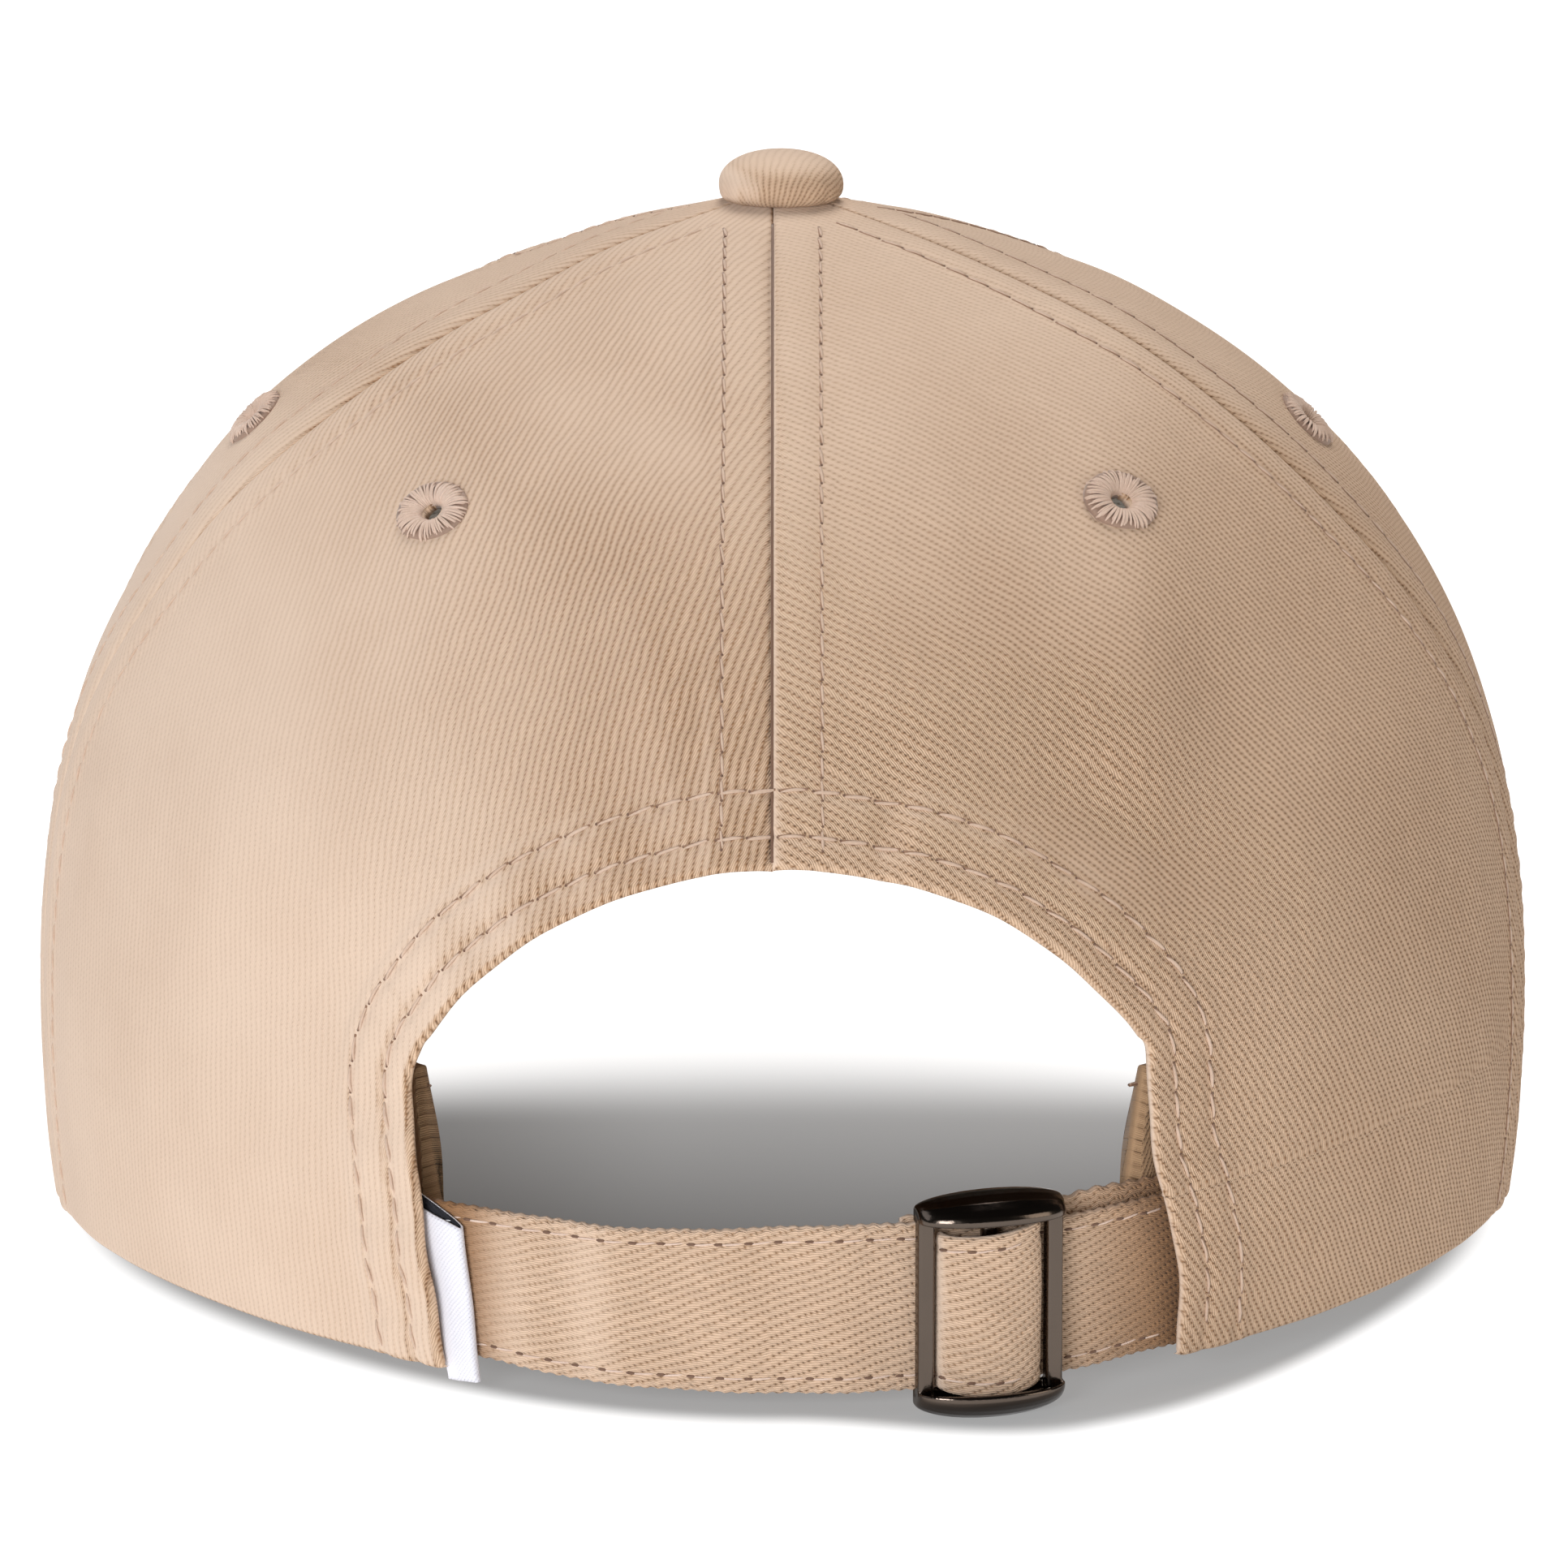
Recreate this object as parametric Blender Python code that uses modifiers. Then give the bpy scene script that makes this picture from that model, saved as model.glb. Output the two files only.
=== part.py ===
"""Six-panel baseball cap with a back arch, a strap and a tri-glide buckle.

Metres, +Z up, +Y towards the brim. The geometry is laid out in crown coordinates: the origin is on
the crown's vertical axis, in the plane of its back and side rim. One empty then moves the whole cap
so that the world origin is at the bottom centre of its bounding box.
"""

import math

import bmesh
import bpy
from mathutils import Matrix, Vector

# ---------------------------------------------------------------- driving dimensions
CROWN_SHIFT_Y = -0.0418  # from crown coordinates to the world
RIM_LIFT = 0.0035  # the buckle and the brim's sides touch the floor, the rim doesn't

CROWN_HALF_WIDTH = 0.0953
CROWN_WIDEST_Y = 0.0150
CROWN_BACK_DEPTH = 0.1115
CROWN_FRONT_DEPTH = 0.0920
CROWN_CORNER_FLATTEN = 0.05
CROWN_SHOULDER_Z = 0.1245
WIDEST_Z_BACK = 0.020
WIDEST_Z_SIDE = 0.023
WIDEST_Z_FRONT = 0.024
ROUNDNESS_BACK = 2.0
ROUNDNESS_SIDE = 2.3
RIM_TUCK = 0.0016
PEAK_RISE = 0.0072  # the panels rise in a low cone under the button
PEAK_POWER = 3.6
APEX_HOLE_R = 0.0026

PANEL_T = 0.0012
SEAM_GAP = 0.00016
BUCKRAM_DEPTH, BUCKRAM_T = 0.0016, 0.0008
TAPE_HALF_WIDTH, TAPE_T = 0.0060, 0.0006
TAPE_DEPTH_BARE, TAPE_DEPTH_OVER_BUCKRAM = 0.0023, 0.0034

APEX_AZ, BACK_SEAM_SPREAD = 65.0, 17.0  # side-to-back seam: degrees from the back centre
FRONT_SEAM_AZ, FRONT_SEAM_SPREAD = 121.0, 8.0

BAND_H, BAND_T = 0.035, 0.0013
BAND_DEPTH_SIDE, BAND_DEPTH_POCKET = 0.0048, 0.0078
BAND_END_AZ = 29.5
BAND_LIFT = 0.0005

ARCH_R, ARCH_TOP_Z = 0.0522, 0.0635
ARCH_CORNER_X = 0.0442  # where the arc gives way to the straighter sides
FACING_W, FACING_T, FACING_DEPTH = 0.010, 0.0006, 0.0022

BRIM_ROOT_AZ = 58.0  # the brim runs this far round each side of the front centre
BRIM_RISE = 0.0215  # the rim's front centre over its sides
BRIM_FRONT_Y, BRIM_SIDE_Y, BRIM_ROOT_Y = 0.1750, 0.1040, 0.0600
BRIM_HALF_WIDTH, BRIM_ROOT_X = 0.0870, 0.0775
BRIM_BEND_R = 0.189
COVER_T, BOARD_T, PLY_GAP = 0.0008, 0.0020, 0.0003
BOARD_INSET = 0.0015

BUTTON_R, BUTTON_TOP_Z, BUTTON_RIM_Z = 0.0078, 0.1362, 0.1298

EYELET_R, EYELET_WIRE_R, EYELET_HOLE_R = 0.0031, 0.0018, 0.0012
EYELET_FLATTEN = 0.35
EYELET_W = 0.535  # height share on the crown
EYELET_AZ = {"back": 41.0, "side": 84.0, "front": 150.0}

STRAP_AXIS_Y = -0.0125  # the strap lies on an arc round a vertical axis here
STRAP_R, STRAP_T = 0.0756, 0.0012
STRAP_Z0, STRAP_Z1 = 0.0002, 0.0200
STRAP_FROM, STRAP_TO = -50.0, 52.0  # degrees from the back centre, + to the right
ANCHOR_FROM, ANCHOR_TO = 11.0, 52.0
LAYER_GAP = 0.0003

BUCKLE_ANGLE = 18.7
BUCKLE_HALF_WIDTH, BAR_W, BAR_T = 0.0092, 0.0022, 0.0018
WINDOW_Z0, WINDOW_Z1 = -0.0002, 0.0206
PLATE_END_H, PLATE_MID_H = 0.0017, 0.0033
PLATE_END_DEPTH, PLATE_MID_DEPTH = 0.0020, 0.0064
WRAP_HALF_WIDTH, WRAP_RISE = 0.0065, 0.0023

LABEL_ANGLE, LABEL_W, LABEL_T = -31.0, 0.0058, 0.0014
LABEL_Z0, LABEL_Z1 = -0.0009, 0.0205

CUTTER_REACH = 0.05

# ---------------------------------------------------------------- scene helpers


def clear_scene():
    for item in list(bpy.data.objects):
        bpy.data.objects.remove(item)


def new_collection(name):
    made = bpy.data.collections.new(name)
    bpy.context.scene.collection.children.link(made)
    return made


def new_material(name, colour, roughness, metallic=0.0):
    made = bpy.data.materials.new(name)
    made.use_nodes = True
    shader = made.node_tree.nodes["Principled BSDF"]
    shader.inputs["Base Color"].default_value = (*colour, 1.0)
    shader.inputs["Roughness"].default_value = roughness
    shader.inputs["Metallic"].default_value = metallic
    return made


def new_object(name, bm, parent, collection, colour, roughness=0.9, metallic=0.0):
    bmesh.ops.recalc_face_normals(bm, faces=bm.faces)
    mesh = bpy.data.meshes.new(name)
    bm.to_mesh(mesh)
    bm.free()
    mesh.shade_smooth()
    made = bpy.data.objects.new(name, mesh)
    collection.objects.link(made)
    made.parent = parent
    mesh.materials.append(new_material(name, colour, roughness, metallic))
    return made


def new_cutter(name, bm, parent):
    bmesh.ops.recalc_face_normals(bm, faces=bm.faces)
    mesh = bpy.data.meshes.new(name)
    bm.to_mesh(mesh)
    bm.free()
    made = bpy.data.objects.new(name, mesh)
    cutters.objects.link(made)
    made.parent = parent
    made.hide_render = True
    made.display_type = "WIRE"
    return made


def cut(target, cutter, operation="DIFFERENCE"):
    step = target.modifiers.new(cutter.name, "BOOLEAN")
    step.operation = operation
    step.object = cutter
    step.solver = "EXACT"


def solidify(target, thickness):
    """Adds thickness inwards from the modelled outer face."""
    step = target.modifiers.new("thickness", "SOLIDIFY")
    step.thickness = thickness
    step.offset = -1.0
    step.use_even_offset = True


def grid_mesh(rows, face_away_from=None):
    """Open quad surface through rows of points, its faces turned away from a point."""
    bm = bmesh.new()
    verts = [[bm.verts.new(p) for p in row] for row in rows]
    for low, high in zip(verts, verts[1:]):
        for i in range(len(low) - 1):
            bm.faces.new((low[i], low[i + 1], high[i + 1], high[i]))
    bm.normal_update()
    if face_away_from is not None:
        face = bm.faces[:][len(bm.faces) // 2]
        if face.normal.dot(face.calc_center_median() - face_away_from) < 0:
            bmesh.ops.reverse_faces(bm, faces=bm.faces)
    return bm


def sheet_object(name, rows, thickness, colour, inside=None, roughness=0.9):
    """An open lofted sheet with Solidify; faces point away from `inside` (default: crown middle)."""
    centre = Vector((0.0, 0.0, 0.03)) if inside is None else inside
    bm = grid_mesh(rows, centre)
    mesh = bpy.data.meshes.new(name)
    bm.to_mesh(mesh)
    bm.free()
    mesh.shade_smooth()
    made = bpy.data.objects.new(name, mesh)
    parts.objects.link(made)
    made.parent = cap
    mesh.materials.append(new_material(name, colour, roughness))
    solidify(made, thickness)
    return made


def prism_mesh(outline, z0, z1):
    """A flat outline, as (x, y) points, extruded from z0 to z1."""
    bm = bmesh.new()
    base = bm.faces.new([bm.verts.new((x, y, z0)) for x, y in outline])
    made = bmesh.ops.extrude_face_region(bm, geom=[base])
    moved = [g for g in made["geom"] if isinstance(g, bmesh.types.BMVert)]
    bmesh.ops.translate(bm, verts=moved, vec=(0, 0, z1 - z0))
    return bm


def turned_object(name, profile, centre, colour, steps=24, roughness=0.8, metallic=0.0):
    """A closed turned body: a profile of (radius, z) points with a Screw modifier."""
    mesh = bpy.data.meshes.new(name)
    edges = [(i, i + 1) for i in range(len(profile) - 1)]
    mesh.from_pydata([(r, 0.0, z) for r, z in profile], edges, [])
    made = bpy.data.objects.new(name, mesh)
    parts.objects.link(made)
    made.parent = cap
    made.location = centre
    mesh.materials.append(new_material(name, colour, roughness, metallic))
    turn = made.modifiers.new("turn", "SCREW")
    turn.steps = steps
    turn.render_steps = steps
    turn.use_merge_vertices = True
    turn.merge_threshold = 0.00001
    return made


# ---------------------------------------------------------------- crown surface


def smooth(t):
    t = min(1.0, max(0.0, t))
    return t * t * (3 - 2 * t)


def widest_z(az):
    """Height of the crown's widest level over its rim plane."""
    u = math.radians(az)
    end = WIDEST_Z_BACK if math.cos(u) > 0 else WIDEST_Z_FRONT
    return end + (WIDEST_Z_SIDE - end) * math.sin(u) ** 2


def crown_point(az, w):
    """Outer face of the crown. az: degrees from the back centre, positive towards +X.
    w: 0 at the widest level, 1 at the apex, -1 at the back rim."""
    u = math.radians(az)
    depth = CROWN_BACK_DEPTH if math.cos(u) > 0 else CROWN_FRONT_DEPTH
    k = 1 - CROWN_CORNER_FLATTEN * math.sin(2 * u) ** 2
    x = CROWN_HALF_WIDTH * math.sin(u) * k
    y = CROWN_WIDEST_Y - depth * math.cos(u) * k
    z_wide = widest_z(az)
    power = ROUNDNESS_BACK + (ROUNDNESS_SIDE - ROUNDNESS_BACK) * math.sin(u) ** 2
    up = max(0.0, min(1.0, w)) * math.pi / 2
    reach = max(0.0, math.cos(up)) ** (2 / power)
    rise = math.sin(up) ** (2 / power)
    low = max(0.0, -w)
    share = reach - RIM_TUCK / math.hypot(x, y) * low**2
    peak = PEAK_RISE * (1 - reach) ** PEAK_POWER if w > 0 else 0.0
    z = z_wide + (CROWN_SHOULDER_Z - z_wide) * rise - z_wide * low + peak
    return Vector((x * share, y * share, z))


def crown_normal(az, w):
    step_az, step_w = 0.4, 0.004
    w = min(w, 0.985)
    along = crown_point(az + step_az, w) - crown_point(az - step_az, w)
    up = crown_point(az, w + step_w) - crown_point(az, w - step_w)
    return along.cross(up).normalized()


def layer_point(az, w, depth):
    """A point this far inside the crown's outer face."""
    return crown_point(az, w) - crown_normal(az, w) * depth


def rim_rise(az):
    """Height of the crown's lower edge over the back rim: it lifts over the curved brim."""
    return BRIM_RISE * smooth((abs(az) - 95.0) / 85.0)


def rim_w(az):
    z_wide = widest_z(az)
    return -(z_wide - rim_rise(az)) / z_wide


def back_seam_az(w):
    return APEX_AZ + BACK_SEAM_SPREAD * (1 - smooth((w - 0.10) / 0.65))


def front_seam_az(w):
    return FRONT_SEAM_AZ + FRONT_SEAM_SPREAD * (1 - max(0.0, w))


def w_at_radius(az, radius):
    """The height share where the crown is this far from its axis."""
    low, high = 0.0, 1.0
    for _ in range(40):
        mid = (low + high) / 2
        if crown_point(az, mid).xy.length > radius:
            low = mid
        else:
            high = mid
    return low


def w_at_height(az, z):
    low, high = -1.0, 1.0
    for _ in range(40):
        mid = (low + high) / 2
        if crown_point(az, mid).z < z:
            low = mid
        else:
            high = mid
    return low


UPPER_ROWS = 12
LAST_ROWS = (0.957, 1.0)  # closer together under the button


def row_levels(top_radius):
    """Rows that every crown layer shares, so that their facets stay parallel: (down, up) shares."""
    top = w_at_radius(0.0, APEX_HOLE_R)
    rows = [(1.0, 0.0), (0.45, 0.0)]
    shares = [i / UPPER_ROWS for i in range(UPPER_ROWS)] + list(LAST_ROWS)
    for share in shares:
        if crown_point(0.0, top * share).xy.length > top_radius - 0.0001:
            rows.append((0.0, top * share))
    return rows


def level(az, row):
    """The height share of one row at an azimuth: (share of the way down to the rim, share up)."""
    down, up = row
    return rim_w(az) * down if down else up


def panel_rows(edge_a, edge_b, depth, seam_inset, columns, top_radius):
    """Grid between two seams, each given as a function of the height share."""
    grid = []
    for row in row_levels(top_radius):
        w_seam = max(0.0, row[1])
        az_a, az_b = edge_a(w_seam), edge_b(w_seam)
        radius = max(crown_point((az_a + az_b) / 2, w_seam).xy.length, 0.002)
        inset = math.degrees(seam_inset / radius)
        az_a, az_b = az_a + inset, az_b - inset
        line = []
        for i in range(columns + 1):
            az = az_a + (az_b - az_a) * i / columns
            line.append(layer_point(az, level(az, row), depth))
        grid.append(line)
    return grid


def tape_rows(seam, depth, top_radius, w_low=None):
    """A strip of constant width along a seam, narrowed where the six strips meet."""
    grid = []
    for row in row_levels(top_radius):
        if w_low is not None and (row[0] or row[1] < w_low):
            continue
        az = seam(max(0.0, row[1]))
        radius = crown_point(az, max(0.0, row[1])).xy.length
        half = math.degrees(min(TAPE_HALF_WIDTH, 0.44 * radius) / radius)
        line = []
        for side in (-1, 0, 1):
            at = az + side * half
            line.append(layer_point(at, level(at, row), depth))
        grid.append(line)
    return grid


# ---------------------------------------------------------------- crown pieces

CLOTH = (0.60, 0.47, 0.36)
CLOTH_LIGHT = (0.66, 0.53, 0.42)
BACKING = (0.82, 0.80, 0.74)
THREAD = (0.68, 0.55, 0.47)
METAL = (0.10, 0.085, 0.08)
COLUMNS = 8


def arch_outline():
    """The back opening as (x, z): a round arch on nearly straight sides, right side fuller."""
    half = ARCH_CORNER_X
    spread = math.asin(half / ARCH_R)
    centre_z = ARCH_TOP_Z - ARCH_R
    arc = []
    for i in range(21):
        a = spread - 2 * spread * i / 20
        arc.append((ARCH_R * math.sin(a), centre_z + ARCH_R * math.cos(a)))
    right = [(0.0455, -0.012), (0.0462, -0.001), (0.0482, 0.009), (0.0474, 0.021)]
    left = [(-0.0427, 0.018), (-0.0403, -0.001), (-0.0400, -0.012)]
    return right + arc + left


def arch_cutter():
    bm = prism_mesh(arch_outline(), -0.13, -0.13 + 2 * CUTTER_REACH)
    for v in bm.verts:
        v.co = Vector((v.co.x, v.co.z, v.co.y))
    return new_cutter("arch_cutter", bm, cap)


def eyelet_places():
    for where, az in EYELET_AZ.items():
        for side, sign in (("left", -1), ("right", 1)):
            yield where, side, sign * az


def eyelet_cutter():
    bm = bmesh.new()
    for _, _, az in eyelet_places():
        normal = crown_normal(az, EYELET_W)
        turn = Vector((0, 0, 1)).rotation_difference(normal).to_matrix().to_4x4()
        turn.translation = crown_point(az, EYELET_W)
        bmesh.ops.create_cone(
            bm,
            cap_ends=True,
            segments=10,
            radius1=EYELET_HOLE_R,
            radius2=EYELET_HOLE_R,
            depth=0.012,
            matrix=turn,
        )
    return new_cutter("eyelet_cutter", bm, cap)


def make_panels():
    def back(sign):
        return lambda w: sign * back_seam_az(w)

    def front(sign):
        return lambda w: sign * front_seam_az(w)

    spans = {
        "back_panel_left": (back(-1), lambda w: 0.0),
        "back_panel_right": (lambda w: 0.0, back(1)),
        "side_panel_left": (front(-1), back(-1)),
        "side_panel_right": (back(1), front(1)),
        "front_panel_left": (lambda w: -180.0, front(-1)),
        "front_panel_right": (front(1), lambda w: 180.0),
    }
    for name, (edge_a, edge_b) in spans.items():
        rows = panel_rows(edge_a, edge_b, 0.0, SEAM_GAP, COLUMNS, APEX_HOLE_R)
        panel = sheet_object(name, rows, PANEL_T, CLOTH)
        cut(panel, eyelets_cut)
        if name.startswith("back"):
            cut(panel, arch_cut)
    for side in ("left", "right"):
        edge_a, edge_b = spans[f"front_panel_{side}"]
        rows = panel_rows(edge_a, edge_b, BUCKRAM_DEPTH, 0.0008, COLUMNS, 0.006)
        backing = sheet_object(f"buckram_{side}", rows, BUCKRAM_T, BACKING, roughness=0.95)
        cut(backing, eyelets_cut)


def make_tapes():
    over = TAPE_DEPTH_OVER_BUCKRAM
    bare = TAPE_DEPTH_BARE
    tapes = {
        "tape_front": (lambda w: 180.0, over, None),
        "tape_front_left": (lambda w: -front_seam_az(w), over, None),
        "tape_front_right": (front_seam_az, over, None),
        "tape_side_left": (lambda w: -back_seam_az(w), bare, None),
        "tape_side_right": (back_seam_az, bare, None),
        "tape_back": (lambda w: 0.0, bare, w_at_height(0.0, ARCH_TOP_Z + FACING_W + 0.002)),
    }
    for name, (seam, depth, w_low) in tapes.items():
        rows = tape_rows(seam, depth, 0.0095, w_low)
        sheet_object(name, rows, TAPE_T, CLOTH_LIGHT)


def back_surface_az(x, z):
    """The azimuth and height share where the back of the crown passes through (x, z)."""
    low, high = -80.0, 80.0
    for _ in range(40):
        mid = (low + high) / 2
        if crown_point(mid, w_at_height(mid, z)).x < x:
            low = mid
        else:
            high = mid
    return low, w_at_height(low, z)


def make_arch_facing():
    """A bias strip inside the arch, following its curve."""
    centre_z = ARCH_TOP_Z - ARCH_R
    spread = math.asin(ARCH_CORNER_X / ARCH_R)
    steps = 16
    rows = []
    for i in range(steps + 1):
        a = -spread + 2 * spread * i / steps
        line = []
        for out in (0.0006, 0.0006 + FACING_W / 2, 0.0006 + FACING_W):
            r = ARCH_R + out
            az, w = back_surface_az(r * math.sin(a), centre_z + r * math.cos(a))
            line.append(layer_point(az, w, FACING_DEPTH))
        rows.append(line)
    sheet_object("arch_facing", rows, FACING_T, CLOTH_LIGHT)


def band_depth(az):
    """The sweatband stands further in where the strap's ends lie between it and the panels."""
    share = smooth((abs(az) - 48.0) / 24.0)
    return BAND_DEPTH_POCKET + (BAND_DEPTH_SIDE - BAND_DEPTH_POCKET) * share


def band_point(az, z, depth):
    w = w_at_height(az, z)
    normal = crown_normal(az, w)
    flat = Vector((normal.x, normal.y, 0)).normalized()
    at = crown_point(az, w) - flat * depth
    return Vector((at.x, at.y, z))


def make_sweatband():
    """A ring open at the back; built as a closed loft so that its lower edge is truly flat."""
    columns = 40
    azimuths = [BAND_END_AZ + (360 - 2 * BAND_END_AZ) * i / columns for i in range(columns + 1)]
    azimuths = [a if a <= 180 else a - 360 for a in azimuths]
    heights = (0.0, 0.33, 0.67, 1.0)
    bm = bmesh.new()
    rings = []
    for az in azimuths:
        lift = rim_rise(az) + BAND_LIFT
        outer = [band_point(az, lift + BAND_H * h, band_depth(az)) for h in heights]
        inner = [band_point(az, lift + BAND_H * h, band_depth(az) + BAND_T) for h in heights]
        rings.append([bm.verts.new(p) for p in outer + inner[::-1]])
    for here, there in zip(rings, rings[1:]):
        for i in range(len(here)):
            j = (i + 1) % len(here)
            bm.faces.new((here[i], here[j], there[j], there[i]))
    bm.faces.new(rings[0])
    bm.faces.new(rings[-1][::-1])
    new_object("sweatband", bm, cap, parts, CLOTH_LIGHT)


def make_button():
    dome = []
    for i in range(8):
        a = math.pi / 2 * i / 7
        x = BUTTON_R * math.sin(a)
        z = BUTTON_RIM_Z + 0.0018 + (BUTTON_TOP_Z - BUTTON_RIM_Z - 0.0018) * math.cos(a)
        dome.append((x, z))
    under = [
        (BUTTON_R, BUTTON_RIM_Z + 0.0008),
        (BUTTON_R - 0.0006, BUTTON_RIM_Z + 0.0003),
        (BUTTON_R - 0.0014, BUTTON_RIM_Z + 0.0008),
        (0.0026, 0.1322),
        (0.0, 0.1328),
    ]
    turned_object("button_cover", dome + under, (0, 0, 0), CLOTH_LIGHT)
    rivet = [
        (0.0, 0.1324),
        (0.0016, 0.1318),
        (0.0016, 0.1288),
        (0.0052, 0.1278),
        (0.0052, 0.1270),
        (0.0, 0.1270),
    ]
    turned_object("button_rivet", rivet, (0, 0, 0), METAL, 16, 0.4, 1.0)


def make_eyelets():
    for where, side, az in eyelet_places():
        normal = crown_normal(az, EYELET_W)
        lift = EYELET_WIRE_R * EYELET_FLATTEN + LAYER_GAP + 0.0001
        bpy.ops.mesh.primitive_torus_add(
            major_radius=EYELET_R,
            minor_radius=EYELET_WIRE_R,
            major_segments=16,
            minor_segments=6,
        )
        made = bpy.context.object
        made.name = f"eyelet_{where}_{side}"
        made.data.transform(Matrix.Diagonal((1.0, 1.0, EYELET_FLATTEN, 1.0)))
        made.data.shade_smooth()
        for other in made.users_collection:
            other.objects.unlink(made)
        parts.objects.link(made)
        made.data.materials.append(new_material(made.name, THREAD, 0.8))
        made.parent = cap
        made.location = crown_point(az, EYELET_W) + normal * lift
        made.rotation_mode = "QUATERNION"
        made.rotation_quaternion = Vector((0, 0, 1)).rotation_difference(normal)


# ---------------------------------------------------------------- brim


def brim_outline(s):
    """The brim's outer edge at s from -1 (left root) through 0 (front) to 1 (right root)."""
    a = abs(s)
    if a < 0.72:
        t = a / 0.72 * math.pi / 2
        x = BRIM_HALF_WIDTH * math.sin(t)
        y = BRIM_SIDE_Y + (BRIM_FRONT_Y - BRIM_SIDE_Y) * max(0.0, math.cos(t)) ** 0.95
    else:
        t = (a - 0.72) / 0.28 * math.pi / 2
        x = BRIM_ROOT_X + (BRIM_HALF_WIDTH - BRIM_ROOT_X) * math.cos(t)
        y = BRIM_SIDE_Y - (BRIM_SIDE_Y - BRIM_ROOT_Y) * math.sin(t)
    x = math.copysign(x, s)
    top = BRIM_RISE + 0.0003
    return Vector((x, y, top - (BRIM_BEND_R - math.sqrt(BRIM_BEND_R**2 - x * x))))


def brim_root(s):
    az = 180.0 - abs(s) * BRIM_ROOT_AZ
    at = crown_point(az, rim_w(az))
    normal = crown_normal(az, rim_w(az))
    flat = Vector((normal.x, normal.y, 0)).normalized() * 0.0006
    return Vector((math.copysign(at.x + flat.x, s), at.y + flat.y, at.z + 0.0003))


def brim_surface(s, t):
    """Top face of the brim. t: 0 at the crown, 1 at the outer edge."""
    return brim_root(s).lerp(brim_outline(s), t)


def brim_layer(s, t, depth):
    step = 0.01
    s_in = max(-0.94, min(0.94, s))
    across = brim_surface(s_in + step, t) - brim_surface(s_in - step, t)
    along = brim_surface(s, min(1.0, t + step)) - brim_surface(s, max(0.0, t - step))
    normal = across.cross(along).normalized()
    if normal.z < 0:
        normal = -normal
    return brim_surface(s, t) - normal * depth


def brim_sheet(name, depth, thickness, colour, edge_inset):
    columns, lines = 22, 5
    rows = []
    for j in range(lines + 1):
        line = []
        for i in range(columns + 1):
            s = (-1 + 2 * i / columns) * 0.955
            width = (brim_outline(s) - brim_root(s)).length
            inset = edge_inset / width
            t = inset * 0.5 + (1 - 1.5 * inset) * j / lines
            line.append(brim_layer(s, t, depth))
        rows.append(line)
    below = Vector((0, 0.13, -0.5))
    sheet_object(name, rows, thickness, colour, below)


def make_brim():
    board_depth = COVER_T + PLY_GAP
    under_depth = board_depth + BOARD_T + PLY_GAP
    brim_sheet("brim_top_cover", 0.0, COVER_T, CLOTH, 0.0)
    brim_sheet("brim_board", board_depth, BOARD_T, BACKING, BOARD_INSET)
    brim_sheet("brim_under_cover", under_depth, COVER_T, CLOTH, 0.0)


# ---------------------------------------------------------------- strap and buckle


def arc_band(r_in, r_out, start, end, steps):
    """Plan outline of a band on the strap's arc, in strap-axis coordinates."""
    outer, inner = [], []
    for i in range(steps + 1):
        a = math.radians(start + (end - start) * i / steps)
        outer.append((r_out * math.sin(a), -r_out * math.cos(a)))
        inner.append((r_in * math.sin(a), -r_in * math.cos(a)))
    return outer + inner[::-1]


def make_straps():
    inner = STRAP_R - STRAP_T
    bm = prism_mesh(arc_band(inner, STRAP_R, STRAP_FROM, STRAP_TO, 26), STRAP_Z0, STRAP_Z1)
    new_object("strap_long", bm, strap_axis, parts, CLOTH)
    back = inner - LAYER_GAP
    outline = arc_band(back - STRAP_T, back, ANCHOR_FROM, ANCHOR_TO, 12)
    bm = prism_mesh(outline, STRAP_Z0 + 0.0002, STRAP_Z1 + 0.0004)
    new_object("strap_anchor", bm, strap_axis, parts, CLOTH)


def buckle_base():
    """Radius of the buckle's flat back, just clear of the strap."""
    return STRAP_R + LAYER_GAP + 0.0001


def make_wrap():
    """The bight of the strap that stands over the buckle's middle bar."""
    base = buckle_base() + 0.0001
    outline = []
    steps = 14
    for i in range(steps + 1):
        a = math.pi * i / steps
        rise = (WRAP_RISE + STRAP_T) * math.sin(a) ** 0.8
        outline.append((-WRAP_HALF_WIDTH * math.cos(a), -base - rise))
    half = WRAP_HALF_WIDTH - STRAP_T
    for i in range(steps + 1):
        a = math.pi - math.pi * i / steps
        rise = WRAP_RISE * math.sin(a) ** 0.8
        outline.append((-half * math.cos(a), -base - rise))
    bm = prism_mesh(outline, STRAP_Z0, STRAP_Z1)
    new_object("strap_wrap", bm, buckle_frame, parts, CLOTH)


def plate_mesh(z_face, direction):
    """One domed end plate: thin and shallow at its ends, deep and tall in the middle."""
    base = buckle_base()
    steps = 12
    bm = bmesh.new()
    rings = []
    for i in range(steps + 1):
        u = -1 + 2 * i / steps
        bulge = math.sqrt(max(0.0, 1 - u * u))
        height = PLATE_END_H + (PLATE_MID_H - PLATE_END_H) * bulge
        depth = PLATE_END_DEPTH + (PLATE_MID_DEPTH - PLATE_END_DEPTH) * bulge
        x = u * BUCKLE_HALF_WIDTH
        section = [(0.0, 0.0), (1.0, 0.0), (1.0, 0.35), (0.8, 0.75), (0.45, 1.0), (0.0, 0.85)]
        ring = []
        for d, h in section:
            ring.append(bm.verts.new((x, -base - depth * d, z_face + direction * height * h)))
        rings.append(ring)
    for here, there in zip(rings, rings[1:]):
        for i in range(len(here)):
            j = (i + 1) % len(here)
            bm.faces.new((here[i], here[j], there[j], there[i]))
    bm.faces.new(rings[0])
    bm.faces.new(rings[-1][::-1])
    return bm


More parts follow.
